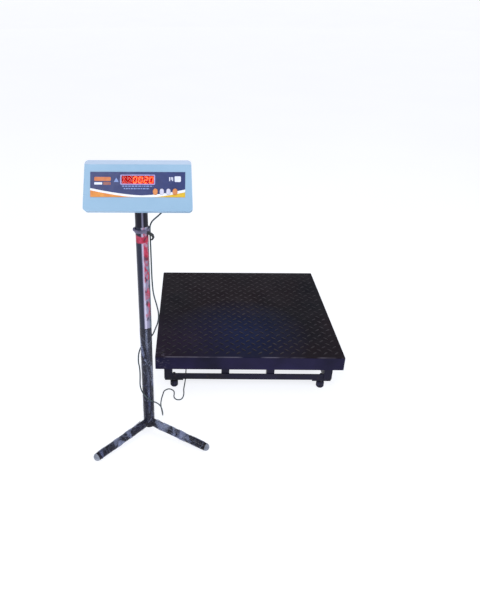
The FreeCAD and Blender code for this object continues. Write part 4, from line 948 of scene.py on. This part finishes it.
def signal_lead():
    """The stretch from the indicator's gland to the strap, as a fixed mesh; the real lead bends as the display
    tilts.
    """
    guide = nurbs("lead_guide", LEAD_ROUTE, 0)
    line = bpy.data.meshes.new_from_object(guide.evaluated_get(bpy.context.evaluated_depsgraph_get()))
    path = [vertex.co.copy() for vertex in line.vertices]
    bpy.data.objects.remove(guide)
    lead = swept("signal_cable_lead", path, [CABLE_DIAMETER / 2] * len(path), MATERIALS["cable_jacket"], None)
    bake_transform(lead)
    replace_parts(lead, "signal_cable_upper")


# ---------------------------------------------------------------- stage

def stage():
    """A pale floor that curves up like a bowl far away, and soft studio light."""
    look = Look("floor", Specular_IOR_Level=0.05, Roughness=0.9, Emission_Color=srgb(250, 251, 255),
                Emission_Strength=0.86)
    look.colour(look.mix(look.noise(0.8, 0.3, 0.7, 2), srgb(140, 142, 148), srgb(146, 148, 154)))
    around = 48
    rings = ((24, 0), (34, 1), (42, 5), (46, 14))
    points = [(0, 0, 0)]
    for radius, height in rings:
        for angle in angles(around):
            points.append((radius * math.cos(angle), radius * math.sin(angle), height))
    faces = [(0, 1 + i, 1 + (i + 1) % around) for i in range(around)]
    faces += [tuple(1 + k for k in face) for face in band_faces(len(rings), around)]
    mesh = bpy.data.meshes.new("floor")
    mesh.from_pydata(points, [], faces)
    mesh.materials.append(look.material)
    placed("floor", mesh)
    world = bpy.data.worlds.new("studio")
    world.use_nodes = True
    background = world.node_tree.nodes["Background"]
    background.inputs["Color"].default_value = srgb(240, 243, 250)
    background.inputs["Strength"].default_value = 0.42
    bpy.context.scene.world = world
    bpy.context.scene.view_settings.view_transform = "Standard"
    lamp("key", (-1.4, -2.6, 3.4), 2.2, 52)
    lamp("fill", (2.8, -1.4, 2.4), 2.4, 34)
    lamp("top", (0.2, 0.4, 3.6), 2.6, 28)


LAMP_TARGET = Vector((0, -0.1, 0.4))
CAMERA_PLACE = (-0.1444, -2.1686, 1.567)
CAMERA_TILT = math.radians(61.63)
CAMERA_TURN = math.radians(0.69)
FOCAL_LENGTH = 34.2


def lamp(name, place, size, power):
    light = bpy.data.lights.new(name, "AREA")
    light.shape = "DISK"
    light.size = size
    light.energy = power
    thing = placed(name, light)
    thing.location = place
    thing.rotation_euler = (LAMP_TARGET - Vector(place)).to_track_quat("-Z", "Y").to_euler()


def camera():
    lens = bpy.data.cameras.new("camera")
    lens.lens = FOCAL_LENGTH
    lens.sensor_width = 36
    lens.shift_x = 0.0914
    lens.shift_y = -0.0136
    lens.clip_end = 200
    thing = placed("camera", lens)
    thing.location = CAMERA_PLACE
    thing.rotation_euler = (CAMERA_TILT, 0, CAMERA_TURN)
    bpy.context.scene.camera = thing


dress_cad()
deck_lugs()
panel_print()
panel_marks()
window_frame()
digits()
key_caps()
packing_film()
cable_strap()
signal_cable()
signal_lead()
stage()
camera()
